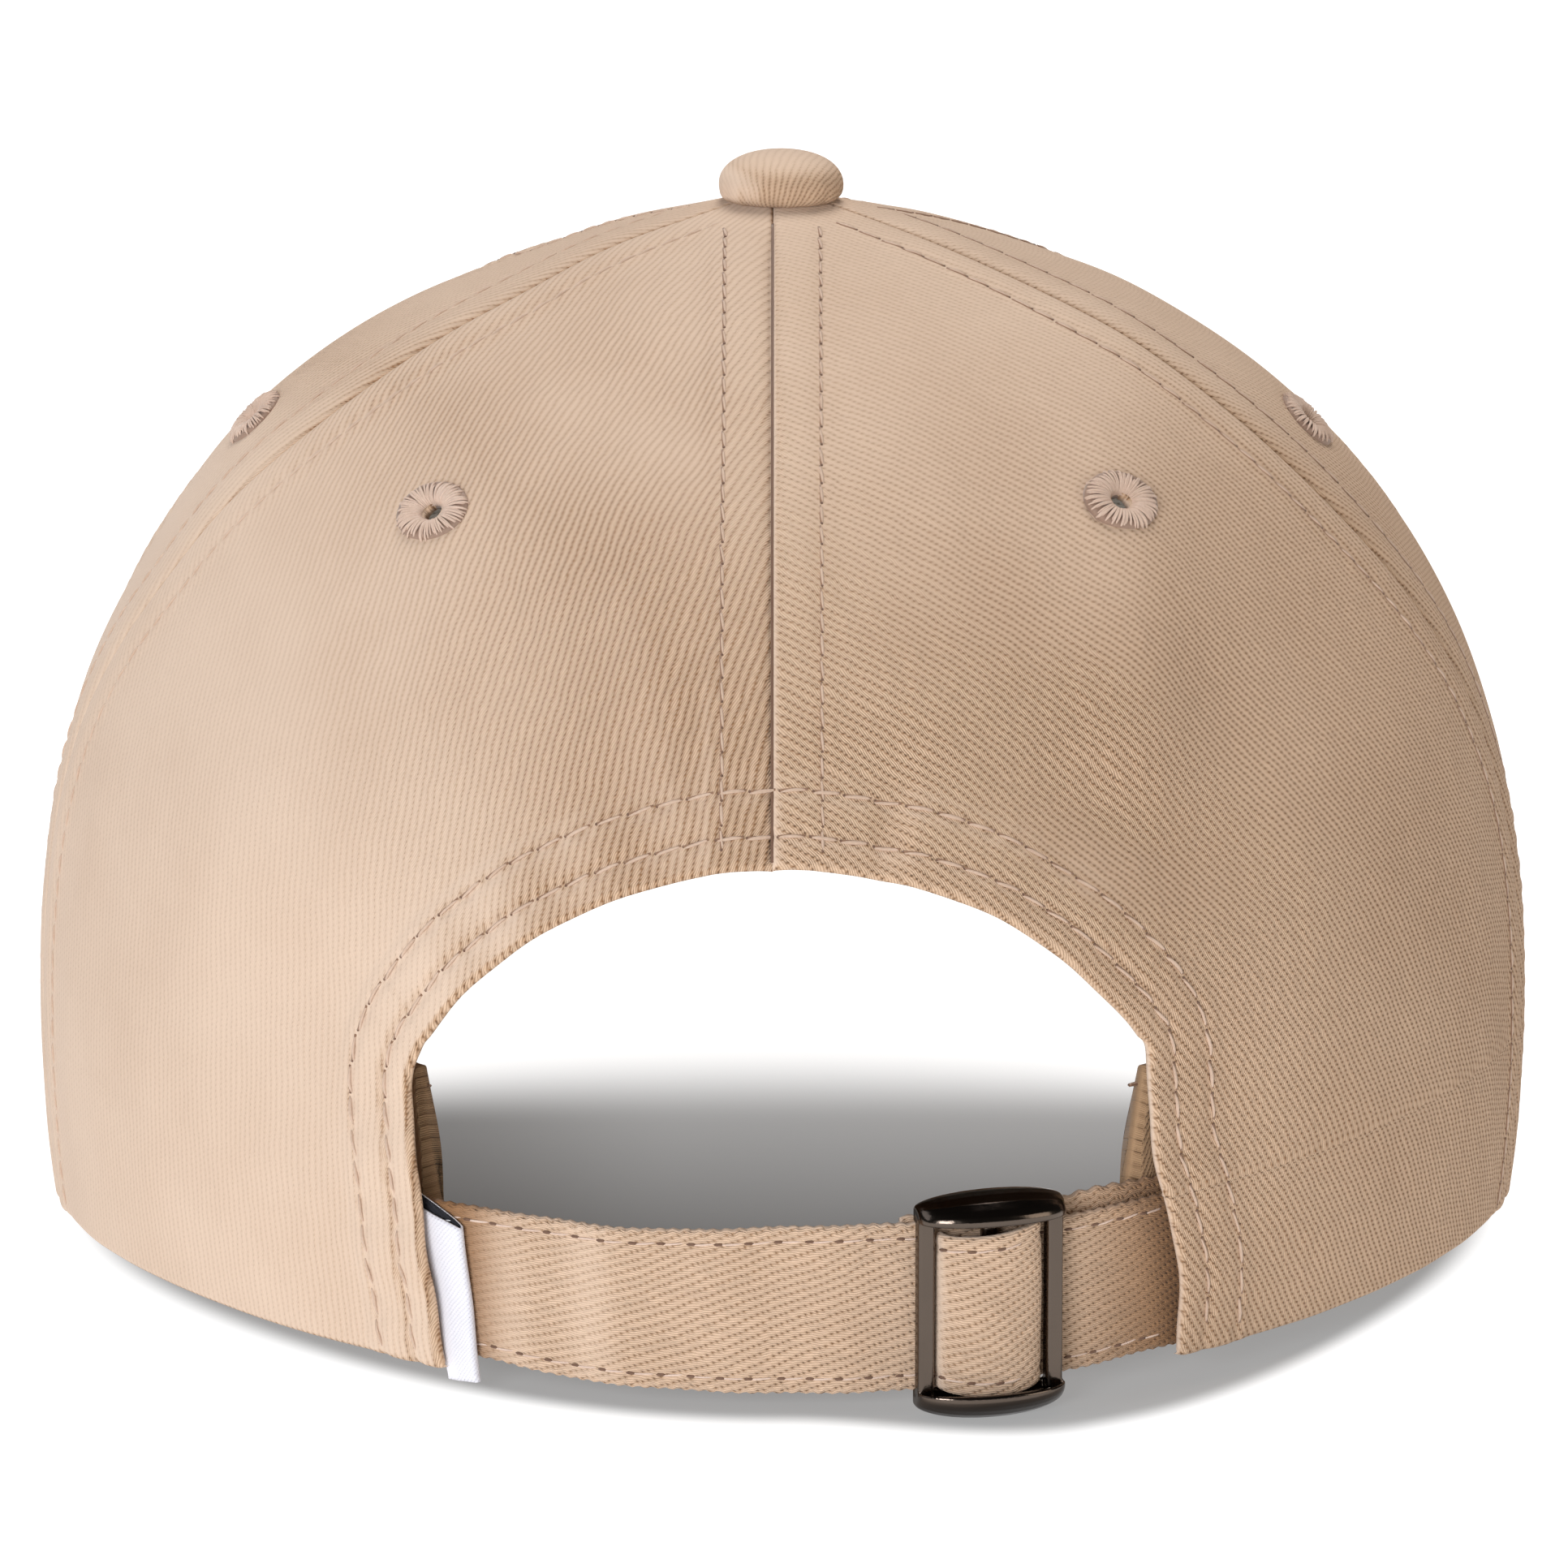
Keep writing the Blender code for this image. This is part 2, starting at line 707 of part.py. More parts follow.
def box_mesh(x0, x1, y0, y1, z0, z1):
    bm = bmesh.new()
    bmesh.ops.create_cube(bm, size=1.0)
    for v in bm.verts:
        v.co.x = x0 if v.co.x < 0 else x1
        v.co.y = y0 if v.co.y < 0 else y1
        v.co.z = z0 if v.co.z < 0 else z1
    return bm


def make_buckle():
    base = buckle_base()
    low, high = WINDOW_Z0 - PLATE_END_H / 2, WINDOW_Z1 + PLATE_END_H / 2
    edge = BUCKLE_HALF_WIDTH - 0.0001
    bars = {
        "bar_left": (-edge, -edge + BAR_W),
        "bar_middle": (-BAR_W / 2, BAR_W / 2),
        "bar_right": (edge - BAR_W, edge),
    }
    frame = new_object(
        "buckle", plate_mesh(WINDOW_Z1, 1), buckle_frame, parts, METAL, 0.3, 1.0
    )
    cut(frame, new_cutter("plate_low", plate_mesh(WINDOW_Z0, -1), buckle_frame), "UNION")
    for name, (x0, x1) in bars.items():
        bm = box_mesh(x0, x1, -base - BAR_T, -base - 0.0001, low, high)
        cut(frame, new_cutter(name, bm, buckle_frame), "UNION")


def make_label():
    """A folded loop label, flat, standing out from the left edge of the opening."""
    base = buckle_base()
    outline = [(0.0, -base), (0.0, -base - LABEL_T)]
    steps = 6
    for i in range(steps + 1):
        a = math.pi / 2 - math.pi * i / steps
        x = LABEL_W - LABEL_T / 2 + LABEL_T / 2 * math.cos(a)
        outline.append((x, -base - LABEL_T / 2 - LABEL_T / 2 * math.sin(a)))
    bm = prism_mesh(outline, LABEL_Z0, LABEL_Z1)
    new_object("woven_label", bm, label_frame, parts, (0.75, 0.74, 0.78), 0.85)


# ---------------------------------------------------------------- build

clear_scene()
parts = new_collection("baseball_cap")
cutters = new_collection("cutters")


def new_empty(name, parent, location, turn=0.0):
    made = bpy.data.objects.new(name, None)
    parts.objects.link(made)
    made.parent = parent
    made.location = location
    made.rotation_euler = (0, 0, math.radians(turn))
    return made


cap = new_empty("cap", None, (0, CROWN_SHIFT_Y, RIM_LIFT))
strap_axis = new_empty("strap_axis", cap, (0, STRAP_AXIS_Y, 0))
buckle_frame = new_empty("buckle_frame", strap_axis, (0, 0, 0), BUCKLE_ANGLE)
label_frame = new_empty("label_frame", strap_axis, (0, 0, 0), LABEL_ANGLE)

eyelets_cut = eyelet_cutter()
arch_cut = arch_cutter()
make_panels()
make_tapes()
make_arch_facing()
make_sweatband()
make_button()
make_eyelets()
make_brim()
make_straps()
make_wrap()
make_buckle()
make_label()
bpy.context.view_layer.update()
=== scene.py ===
"""Looks of a six-panel baseball cap: twill panels, threads, brim, strap, buckle and studio.

The crown's surface is laid out in crown coordinates, as in the design: the origin is on the
crown's vertical axis in the plane of its rim, metres, +Z up, +Y towards the brim. `place` moves it
to the world.
"""

import math

import bmesh
import bpy
import numpy as np
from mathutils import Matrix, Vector


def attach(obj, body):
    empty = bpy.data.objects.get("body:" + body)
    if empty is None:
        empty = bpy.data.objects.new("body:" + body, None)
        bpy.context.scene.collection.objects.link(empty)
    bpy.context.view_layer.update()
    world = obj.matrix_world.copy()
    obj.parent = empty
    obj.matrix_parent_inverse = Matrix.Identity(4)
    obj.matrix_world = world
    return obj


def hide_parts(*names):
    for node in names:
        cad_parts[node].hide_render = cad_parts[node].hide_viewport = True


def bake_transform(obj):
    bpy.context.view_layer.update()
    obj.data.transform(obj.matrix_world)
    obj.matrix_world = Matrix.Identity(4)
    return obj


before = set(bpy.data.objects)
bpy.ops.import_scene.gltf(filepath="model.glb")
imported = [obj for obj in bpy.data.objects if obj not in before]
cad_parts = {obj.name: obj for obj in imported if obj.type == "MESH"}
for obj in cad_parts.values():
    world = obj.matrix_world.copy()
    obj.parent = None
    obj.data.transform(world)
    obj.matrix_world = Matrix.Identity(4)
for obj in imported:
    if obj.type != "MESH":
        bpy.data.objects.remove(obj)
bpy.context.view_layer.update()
rng = np.random.default_rng(7)

# ---------------------------------------------------------------- the design's dimensions
SHIFT = np.array([0.0, -0.0418, 0.0035])  # crown coordinates to the world

CROWN_HALF_WIDTH = 0.0953
CROWN_WIDEST_Y = 0.0150
CROWN_BACK_DEPTH = 0.1115
CROWN_FRONT_DEPTH = 0.0920
CROWN_CORNER_FLATTEN = 0.05
CROWN_SHOULDER_Z = 0.1245
WIDEST_Z_BACK, WIDEST_Z_SIDE, WIDEST_Z_FRONT = 0.020, 0.023, 0.024
ROUNDNESS_BACK, ROUNDNESS_SIDE = 2.0, 2.3
RIM_TUCK = 0.0016
PEAK_RISE, PEAK_POWER = 0.0072, 3.6
APEX_HOLE_R = 0.0026
APEX_AZ, BACK_SEAM_SPREAD = 65.0, 17.0
FRONT_SEAM_AZ, FRONT_SEAM_SPREAD = 121.0, 8.0
PANEL_T = 0.0012

ARCH_R, ARCH_TOP_Z, ARCH_CORNER_X = 0.0522, 0.0635, 0.0442
CENTRE_SEAM_X = -0.0012  # the back seam is sewn a little to the left of the middle
BRIM_ROOT_AZ, BRIM_RISE = 58.0, 0.0215
BRIM_FRONT_Y, BRIM_SIDE_Y, BRIM_ROOT_Y = 0.1750, 0.1040, 0.0600
BRIM_HALF_WIDTH, BRIM_ROOT_X, BRIM_BEND_R = 0.0870, 0.0775, 0.189
COVER_T, BOARD_T, PLY_GAP = 0.0008, 0.0020, 0.0003
BAND_H, BAND_T, BAND_LIFT, BAND_END_AZ = 0.035, 0.0013, 0.0005, 29.5
BAND_DEPTH_SIDE, BAND_DEPTH_POCKET = 0.0048, 0.0078
BUTTON_R, BUTTON_TOP_Z, BUTTON_RIM_Z = 0.0078, 0.1362, 0.1298
EYELET_W, EYELET_HOLE_R = 0.535, 0.0013
EYELET_AZ = {"back": 41.0, "side": 84.0, "front": 150.0}
# the back pair isn't quite even: azimuth and height share, left and right
BACK_EYELET_SHIFT = {-1: (-0.9, -0.014), 1: (-0.3, -0.004)}
# the opening's sides under its round top: distance from the middle, height
ARCH_FEET = {
    1: [(0.0446, 0.032), (0.0456, 0.024), (0.0478, 0.015), (0.0484, 0.008), (0.0480, -0.006)],
    -1: [(0.0457, 0.034), (0.0448, 0.025), (0.0434, 0.015), (0.0420, 0.007), (0.0400, -0.006)],
}
STRAP_AXIS_Y, STRAP_R, STRAP_T = -0.0125, 0.0756, 0.0012
STRAP_Z0, STRAP_Z1 = 0.0002, 0.0200
BUCKLE_ANGLE, BUCKLE_HALF_WIDTH = 18.7, 0.0092
WINDOW_Z0, WINDOW_Z1 = -0.0002, 0.0206
LABEL_ANGLE, LABEL_W, LABEL_T = -31.0, 0.0058, 0.0014
LABEL_Z0, LABEL_Z1 = -0.0009, 0.0205

# ---------------------------------------------------------------- small numeric helpers


def smooth(t):
    t = np.clip(t, 0.0, 1.0)
    return t * t * (3 - 2 * t)


def bell(d, width):
    return np.exp(-((d / width) ** 2))


def widest_z(az):
    """Height of the crown's widest level over its rim plane."""
    u = np.radians(az)
    end = np.where(np.cos(u) > 0, WIDEST_Z_BACK, WIDEST_Z_FRONT)
    return end + (WIDEST_Z_SIDE - end) * np.sin(u) ** 2


def crown(az, w):
    """Outer face of the crown at azimuths (degrees from the back centre) and height shares."""
    az, w = np.broadcast_arrays(np.asarray(az, float), np.asarray(w, float))
    u = np.radians(az)
    depth = np.where(np.cos(u) > 0, CROWN_BACK_DEPTH, CROWN_FRONT_DEPTH)
    k = 1 - CROWN_CORNER_FLATTEN * np.sin(2 * u) ** 2
    x = CROWN_HALF_WIDTH * np.sin(u) * k
    y = CROWN_WIDEST_Y - depth * np.cos(u) * k
    z_wide = widest_z(az)
    power = ROUNDNESS_BACK + (ROUNDNESS_SIDE - ROUNDNESS_BACK) * np.sin(u) ** 2
    up = np.clip(w, 0.0, 1.0) * np.pi / 2
    reach = np.maximum(0.0, np.cos(up)) ** (2 / power)
    rise = np.sin(up) ** (2 / power)
    low = np.maximum(0.0, -w)
    share = reach - RIM_TUCK / np.hypot(x, y) * low**2
    peak = np.where(w > 0, PEAK_RISE * (1 - reach) ** PEAK_POWER, 0.0)
    z = z_wide + (CROWN_SHOULDER_Z - z_wide) * rise - z_wide * low + peak
    return np.stack([x * share, y * share, z], axis=-1)


def crown_normal(az, w):
    w = np.minimum(w, 0.985)
    along = crown(az + 0.4, w) - crown(az - 0.4, w)
    up = crown(az, w + 0.004) - crown(az, w - 0.004)
    n = np.cross(along, up)
    return n / np.linalg.norm(n, axis=-1, keepdims=True)


def rim_rise(az):
    return BRIM_RISE * smooth((np.abs(az) - 95.0) / 85.0)


def rim_w(az):
    return rim_rise(az) / widest_z(az) - 1


def back_seam_az(w):
    return APEX_AZ + BACK_SEAM_SPREAD * (1 - smooth((np.asarray(w) - 0.10) / 0.65))


def front_seam_az(w):
    return FRONT_SEAM_AZ + FRONT_SEAM_SPREAD * (1 - np.maximum(0.0, w))


def centre_seam_az(w):
    """The back seam's azimuth: a constant distance to the left of the middle, less near the top."""
    across = np.hypot(*np.moveaxis(crown(0.0, np.minimum(w, 0.97))[..., :2], -1, 0))
    return np.degrees(CENTRE_SEAM_X / across)


def bisect(test, low, high, steps=34):
    """Vector bisection: test(mid) is True where the answer is higher than mid."""
    for _ in range(steps):
        mid = (low + high) / 2
        up = test(mid)
        low, high = np.where(up, mid, low), np.where(up, high, mid)
    return (low + high) / 2


def w_at_height(az, z):
    az, z = np.broadcast_arrays(np.asarray(az, float), np.asarray(z, float))
    return bisect(lambda m: crown(az, m)[..., 2] < z, np.full(az.shape, -1.3), np.ones(az.shape))


def surface_at(x, z):
    """(azimuth, height share) where the back of the crown passes through (x, z)."""
    x, z = np.broadcast_arrays(np.asarray(x, float), np.asarray(z, float))

    def left_of(mid):
        return crown(mid, w_at_height(mid, z))[..., 0] < x

    az = bisect(left_of, np.full(x.shape, -80.0), np.full(x.shape, 80.0), 26)
    return az, w_at_height(az, z)


W_TOP = float(
    bisect(lambda m: np.hypot(*crown(0.0, m)[..., :2].T) > APEX_HOLE_R, np.zeros(()), np.ones(()))
)


def arc_length(points):
    steps = np.linalg.norm(np.diff(points, axis=0), axis=1)
    return np.concatenate([[0.0], np.cumsum(steps)])


def resample(points, shares):
    """Points at these shares of a polyline's length."""
    along = arc_length(points)
    at = np.asarray(shares) * along[-1]
    return np.stack([np.interp(at, along, points[:, k]) for k in range(points.shape[1])], axis=1)


def line_distance(points, line):
    """Distance from points to a polyline, and how far along it the nearest place is."""
    shape = points.shape[:-1]
    flat = points.reshape(-1, 3)
    best = np.full(len(flat), 1e9)
    where = np.zeros(len(flat))
    along = arc_length(line)
    for i in range(len(line) - 1):
        a, step = line[i], line[i + 1] - line[i]
        size = step @ step
        t = np.clip((flat - a) @ step / size, 0, 1)
        d = np.linalg.norm(flat - a - t[:, None] * step, axis=1)
        near = d < best
        best[near] = d[near]
        where[near] = along[i] + t[near] * math.sqrt(size)
    return best.reshape(shape), where.reshape(shape)


# ---------------------------------------------------------------- seams and the arch as lines


def catmull(points, steps=8):
    """A smooth curve through 2D points."""
    p = np.vstack([2 * points[0] - points[1], points, 2 * points[-1] - points[-2]])
    out = []
    for a, b, c, d in zip(p, p[1:], p[2:], p[3:]):
        for t in np.arange(steps) / steps:
            cubic = (2 * a - 5 * b + 4 * c - d) * t**2 + (3 * b - a - 3 * c + d) * t**3
            out.append(0.5 * (2 * b + (c - a) * t + cubic))
    out.append(p[-2])
    return np.array(out)


def arch_half(sign):
    """(azimuth, height share) down one side of the opening, from its top to the rim."""
    spread, start = math.asin(ARCH_CORNER_X / ARCH_R), sign * CENTRE_SEAM_X / ARCH_R
    centre_z = ARCH_TOP_Z - ARCH_R
    angles = np.linspace(start, spread, 24)
    arc = [(ARCH_R * math.sin(a), centre_z + ARCH_R * math.cos(a)) for a in angles]
    outline = catmull(np.array(arc[-2:] + ARCH_FEET[sign]))
    xz = np.vstack([np.array(arc[:-2]), outline])
    xz = xz[xz[:, 1] > -0.0045]
    az, w = surface_at(sign * xz[:, 0], xz[:, 1])
    keep = w > -1.0
    az, w = az[keep], w[keep]
    return np.append(az, az[-1]), np.append(w, -1.0)


ARCH_HALF = {sign: arch_half(sign) for sign in (-1, 1)}
ARCH_LINE = np.vstack([crown(*ARCH_HALF[-1])[::-1], crown(*ARCH_HALF[1])[1:]])
LEVELS = np.linspace(-1.0, W_TOP, 90)


def seam_line(seam):
    az = seam(np.maximum(0.0, LEVELS))
    w = np.where(LEVELS < 0, rim_w(az) * -LEVELS, LEVELS)
    return crown(az, w)


SEAMS = {
    "centre": centre_seam_az,
    "front": lambda w: 180.0 + 0.0 * np.asarray(w),
    "back_left": lambda w: -back_seam_az(w),
    "back_right": back_seam_az,
    "front_left": lambda w: -front_seam_az(w),
    "front_right": front_seam_az,
}
SEAM_LINES = {name: seam_line(seam) for name, seam in SEAMS.items()}

# ---------------------------------------------------------------- relief of the cloth

TOPSTITCH = 0.0060  # from a seam
ARCH_ROWS = (0.0039, 0.0094)  # from the arch's edge
STITCH = 0.0030
HEM_R = 0.0009
BUTTON_CLEAR_R = 0.0105  # the seams' rows end under the button

# soft hollows (-) and swells (+) of the back and sides: x, z, half-lengths, tilt (degrees), height
SWELLS = (
    (-0.016, 0.112, 0.020, 0.006, -20, -0.0007),
    (-0.030, 0.100, 0.022, 0.008, 25, 0.0005),
    (-0.013, 0.085, 0.006, 0.022, 8, 0.0004),
    (-0.018, 0.070, 0.010, 0.012, 0, -0.0004),
    (0.017, 0.080, 0.012, 0.018, 0, 0.0005),
    (0.0125, 0.067, 0.0022, 0.0060, -8, -0.0007),
    (0.013, 0.072, 0.010, 0.006, 0, -0.0006),
    (0.040, 0.067, 0.014, 0.007, -35, -0.0017),
    (0.030, 0.056, 0.012, 0.006, -35, 0.0007),
    (0.035, 0.052, 0.010, 0.005, -50, -0.0006),
    (0.064, 0.082, 0.012, 0.016, 20, -0.0009),
    (0.060, 0.050, 0.014, 0.020, 0, 0.0008),
    (0.050, 0.034, 0.006, 0.018, 5, -0.0006),
    (-0.060, 0.070, 0.016, 0.022, 0, 0.0006),
    (-0.065, 0.040, 0.018, 0.014, 0, -0.0006),
    (-0.048, 0.030, 0.008, 0.020, 0, -0.0005),
    (-0.080, 0.085, 0.012, 0.012, 0, -0.0005),
    (0.0430, 0.084, 0.0075, 0.026, 4, 0.0011),
    (0.0540, 0.066, 0.0080, 0.018, 10, -0.0008),
)


def swells(p):
    out = np.zeros(p.shape[:-1])
    for x, z, along, across, tilt, height in SWELLS:
        c, s = math.cos(math.radians(tilt)), math.sin(math.radians(tilt))
        dx, dz = p[..., 0] - x, p[..., 2] - z
        a, b = (dx * c + dz * s) / along, (dz * c - dx * s) / across
        out += 1.6 * height * np.exp(-(a * a + b * b)) * (p[..., 1] < 0.02)
    return out


def ripple(p, scale, seed):
    """Smooth, repeatable unevenness from a few sine waves."""
    gen = np.random.default_rng(seed)
    out = np.zeros(p.shape[:-1])
    for _ in range(7):
        k = gen.normal(size=3)
        k *= gen.uniform(0.6, 1.5) / np.linalg.norm(k) / scale
        out += np.sin(2 * np.pi * (p @ k) + gen.uniform(0, 6.28))
    return out / 7


def relief(p, seams=tuple(SEAM_LINES), arch=True):
    """How far the cloth stands out from the plain crown surface, in metres."""
    out = swells(p) + 0.0005 * ripple(p, 0.055, 3) + 0.00012 * ripple(p, 0.016, 4)
    radius = np.hypot(p[..., 0], p[..., 1])
    fade = smooth((radius - 0.008) / 0.014)
    for name in seams:
        d, along = line_distance(p, SEAM_LINES[name])
        pucker = 0.5 + 0.5 * np.cos(2 * np.pi * along / STITCH)
        ridge = 0.00050 * (1 - smooth((d - 0.0055) / 0.0030))
        ridge -= (0.00022 + 0.00010 * pucker) * bell(d - TOPSTITCH, 0.0009)
        ridge -= 0.00045 * bell(d, 0.0011)
        if name == "centre":  # its left allowance leans into the seam, its right one stands over it
            left = p[..., 0] < CENTRE_SEAM_X
            sewn = d < TOPSTITCH
            ridge += np.where(left, 0.0007, -0.0002) * (d / TOPSTITCH - 0.5) * sewn
            beyond = 1 - smooth((d - TOPSTITCH) / 0.004)
            ridge += np.where(left, 0.00035, -0.0001) * beyond * ~sewn
        out += ridge * fade
    if arch:
        d, along = line_distance(p, ARCH_LINE)
        pucker = 0.5 + 0.5 * np.cos(2 * np.pi * along / STITCH)
        near = p[..., 2] < 0.09
        hem = 0.00045 * (1 - smooth((d - ARCH_ROWS[1]) / 0.0028))
        for row in ARCH_ROWS:
            hem -= (0.00026 + 0.00014 * pucker) * bell(d - row, 0.0009)
        wave = 0.00016 * np.sin(2 * np.pi * along / 0.0117) * (1 - smooth((d - 0.008) / 0.006))
        out += (hem + wave) * near
    return out


def place(p):
    return p + SHIFT


# ---------------------------------------------------------------- mesh helpers


def mesh_object(name, verts, faces, material, uv=None, smooth_shading=True):
    mesh = bpy.data.meshes.new(name)
    mesh.from_pydata([tuple(v) for v in np.asarray(verts, float).tolist()], [], faces)
    if uv is not None:
        layer = mesh.uv_layers.new(name="grain")
        index = np.zeros(len(mesh.loops), int)
        mesh.loops.foreach_get("vertex_index", index)
        layer.data.foreach_set("uv", np.asarray(uv, np.float32)[index].ravel())
    mesh.update()
    mesh.materials.append(material)
    if smooth_shading:
        mesh.shade_smooth()
    made = bpy.data.objects.new(name, mesh)
    bpy.context.scene.collection.objects.link(made)
    return made


def grid_faces(rows, columns, start=0, flip=False, close=False):
    faces = []
    across = columns if close else columns - 1
    for r in range(rows - 1):
        for c in range(across):
            a = start + r * columns + c
            b = start + r * columns + (c + 1) % columns
            quad = (a, b, b + columns, a + columns)
            faces.append(quad[::-1] if flip else quad)
    return faces


def loft_faces(rows, columns, start=0, flip=False):
    """A closed tube over a grid of rings, with a cap at each end."""
    last = start + (rows - 1) * columns
    caps = [tuple(range(start, start + columns))[::-1], tuple(range(last, last + columns))]
    return grid_faces(rows, columns, start, flip, True) + [c[::-1] if flip else c for c in caps]


def border_faces(rows, columns, shift):
    """Quads that join the borders of two equal grids, the second `shift` vertices on."""
    ring = list(range(columns))
    ring += [r * columns + columns - 1 for r in range(1, rows)]
    ring += [(rows - 1) * columns + c for c in range(columns - 2, -1, -1)]
    ring += [r * columns for r in range(rows - 2, 0, -1)]
    faces = []
    for i, a in enumerate(ring):
        b = ring[(i + 1) % len(ring)]
        faces.append((b, a, a + shift, b + shift))
    return faces


def cut_holes(outer, faces, holes, radius):
    """Opens round holes: drops the faces inside, and puts the edge left on the circle."""
    for centre, normal in holes:
        rel = outer - centre
        off = rel - (rel @ normal)[:, None] * normal
        d = np.linalg.norm(off, axis=1)
        close = (d < radius * 3) & (np.abs(rel @ normal) < 0.006)
        if not close.any():
            continue
        kept, edge = [], set()
        for f in faces:
            if all(close[i] for i in f) and np.linalg.norm(off[list(f)].mean(0)) < radius:
                edge.update(f)
            else:
                kept.append(f)
        faces = kept
        for i in edge:
            if d[i] > 1e-6:
                outer[i] += off[i] * (radius / d[i] - 1)
        pairs = (pair for f in faces for pair in zip(f, f[1:] + f[:1]))
        sides = dict.fromkeys((a, b) for a, b in pairs if a in edge and b in edge)
        half = len(outer) // 2
        for a, b in [pair for pair in sides if pair[::-1] not in sides]:
            if a < half:  # the hole's wall, between the two faces of the cloth
                faces.append((b, a, a + half, b + half))
    return outer, faces


def shell_object(name, mid, normals, out, thickness, material, uv, holes=(), flip=False):
    """A closed sheet on a grid of points: `out` outwards on the face side, thickness inwards."""
    rows, columns = mid.shape[:2]
    outer = (mid + normals * out[..., None]).reshape(-1, 3)
    inner = (mid + normals * (out - thickness)[..., None]).reshape(-1, 3)
    count = rows * columns
    faces = grid_faces(rows, columns, 0, flip)
    faces += grid_faces(rows, columns, count, not flip)
    border = border_faces(rows, columns, count)
    faces += [f[::-1] for f in border] if flip else border
    points = np.vstack([outer, inner])
    points, faces = cut_holes(points, faces, holes, EYELET_HOLE_R)
    used = sorted({i for f in faces for i in f})
    new_index = {old: new for new, old in enumerate(used)}
    faces = [tuple(new_index[i] for i in f) for f in faces]
    both = np.vstack([uv.reshape(-1, 2)] * 2)
    return mesh_object(name, place(points[used]), faces, material, both[used])


def enter(body, slot, *pieces, node=None):
    """Puts pieces on a body, and hides the CAD node if one is given; `slot` is not used."""
    for piece in pieces:
        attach(piece, body)
    if node:
        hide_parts(node)


# ---------------------------------------------------------------- materials


def node_maker(tree):
    def link(value, socket):
        if isinstance(value, bpy.types.NodeSocket):
            tree.links.new(value, socket)
        elif value is not None:
            socket.default_value = value

    def make(kind, *inputs, out=0, **settings):
        node = tree.nodes.new(kind)
        for key, value in settings.items():
            setattr(node, key, value)
        for i, value in enumerate(inputs):
            link(value, node.inputs[i])
        return node.outputs[out]

    def math_node(operation, a, b=None, c=None, clamp=False):
        return make("ShaderNodeMath", a, b, c, operation=operation, use_clamp=clamp)

    return link, make, math_node


def ramp(make, value, start, end, low=0.0, high=1.0):
    """A smooth step from low to high while value goes from start to end."""
    return make("ShaderNodeMapRange", value, start, end, low, high, interpolation_type="SMOOTHSTEP")


def add_bump(make, link, shader, height, strength, distance):
    bump = make("ShaderNodeBump").node
    bump.inputs["Strength"].default_value = strength
    bump.inputs["Distance"].default_value = distance
    link(height, bump.inputs["Height"])
    link(bump.outputs[0], shader.inputs["Normal"])


def blend_colour(make, share, a, b):
    node = make("ShaderNodeMix", data_type="RGBA", clamp_factor=True).node
    tree = node.id_data
    for value, socket in ((share, node.inputs[0]), (a, node.inputs[6]), (b, node.inputs[7])):
        if isinstance(value, bpy.types.NodeSocket):
            tree.links.new(value, socket)
        else:
            socket.default_value = value
    return node.outputs[2]


def rgba(colour):
    return (*colour, 1.0)


def new_material(name, roughness=0.9, metallic=0.0, specular=0.2):
    material = bpy.data.materials.new(name)
    material.use_nodes = True
    shader = material.node_tree.nodes["Principled BSDF"]
    shader.inputs["Roughness"].default_value = roughness
    shader.inputs["Metallic"].default_value = metallic
    shader.inputs["Specular IOR Level"].default_value = specular
    return material, shader


KEY_WAY, TOP_WAY = (-0.96, -0.22, 0.12), (0.05, 0.02, 0.99)  # towards the two main lights


def painted_light_share(make, calc):
    """1 where cloth faces a light square on: there its colour is painted lighter and the weave's
    painted shade fades, standing in for slits that fill with light and a nap that looks whitish.
    """
    normal = make("ShaderNodeNewGeometry", out=1)
    to_key = make("ShaderNodeVectorMath", normal, KEY_WAY, operation="DOT_PRODUCT", out=1)
    to_top = make("ShaderNodeVectorMath", normal, TOP_WAY, operation="DOT_PRODUCT", out=1)
    return calc("MAXIMUM", ramp(make, to_key, 0.40, 0.86), ramp(make, to_top, 0.40, 1.0, 0.0, 0.9))


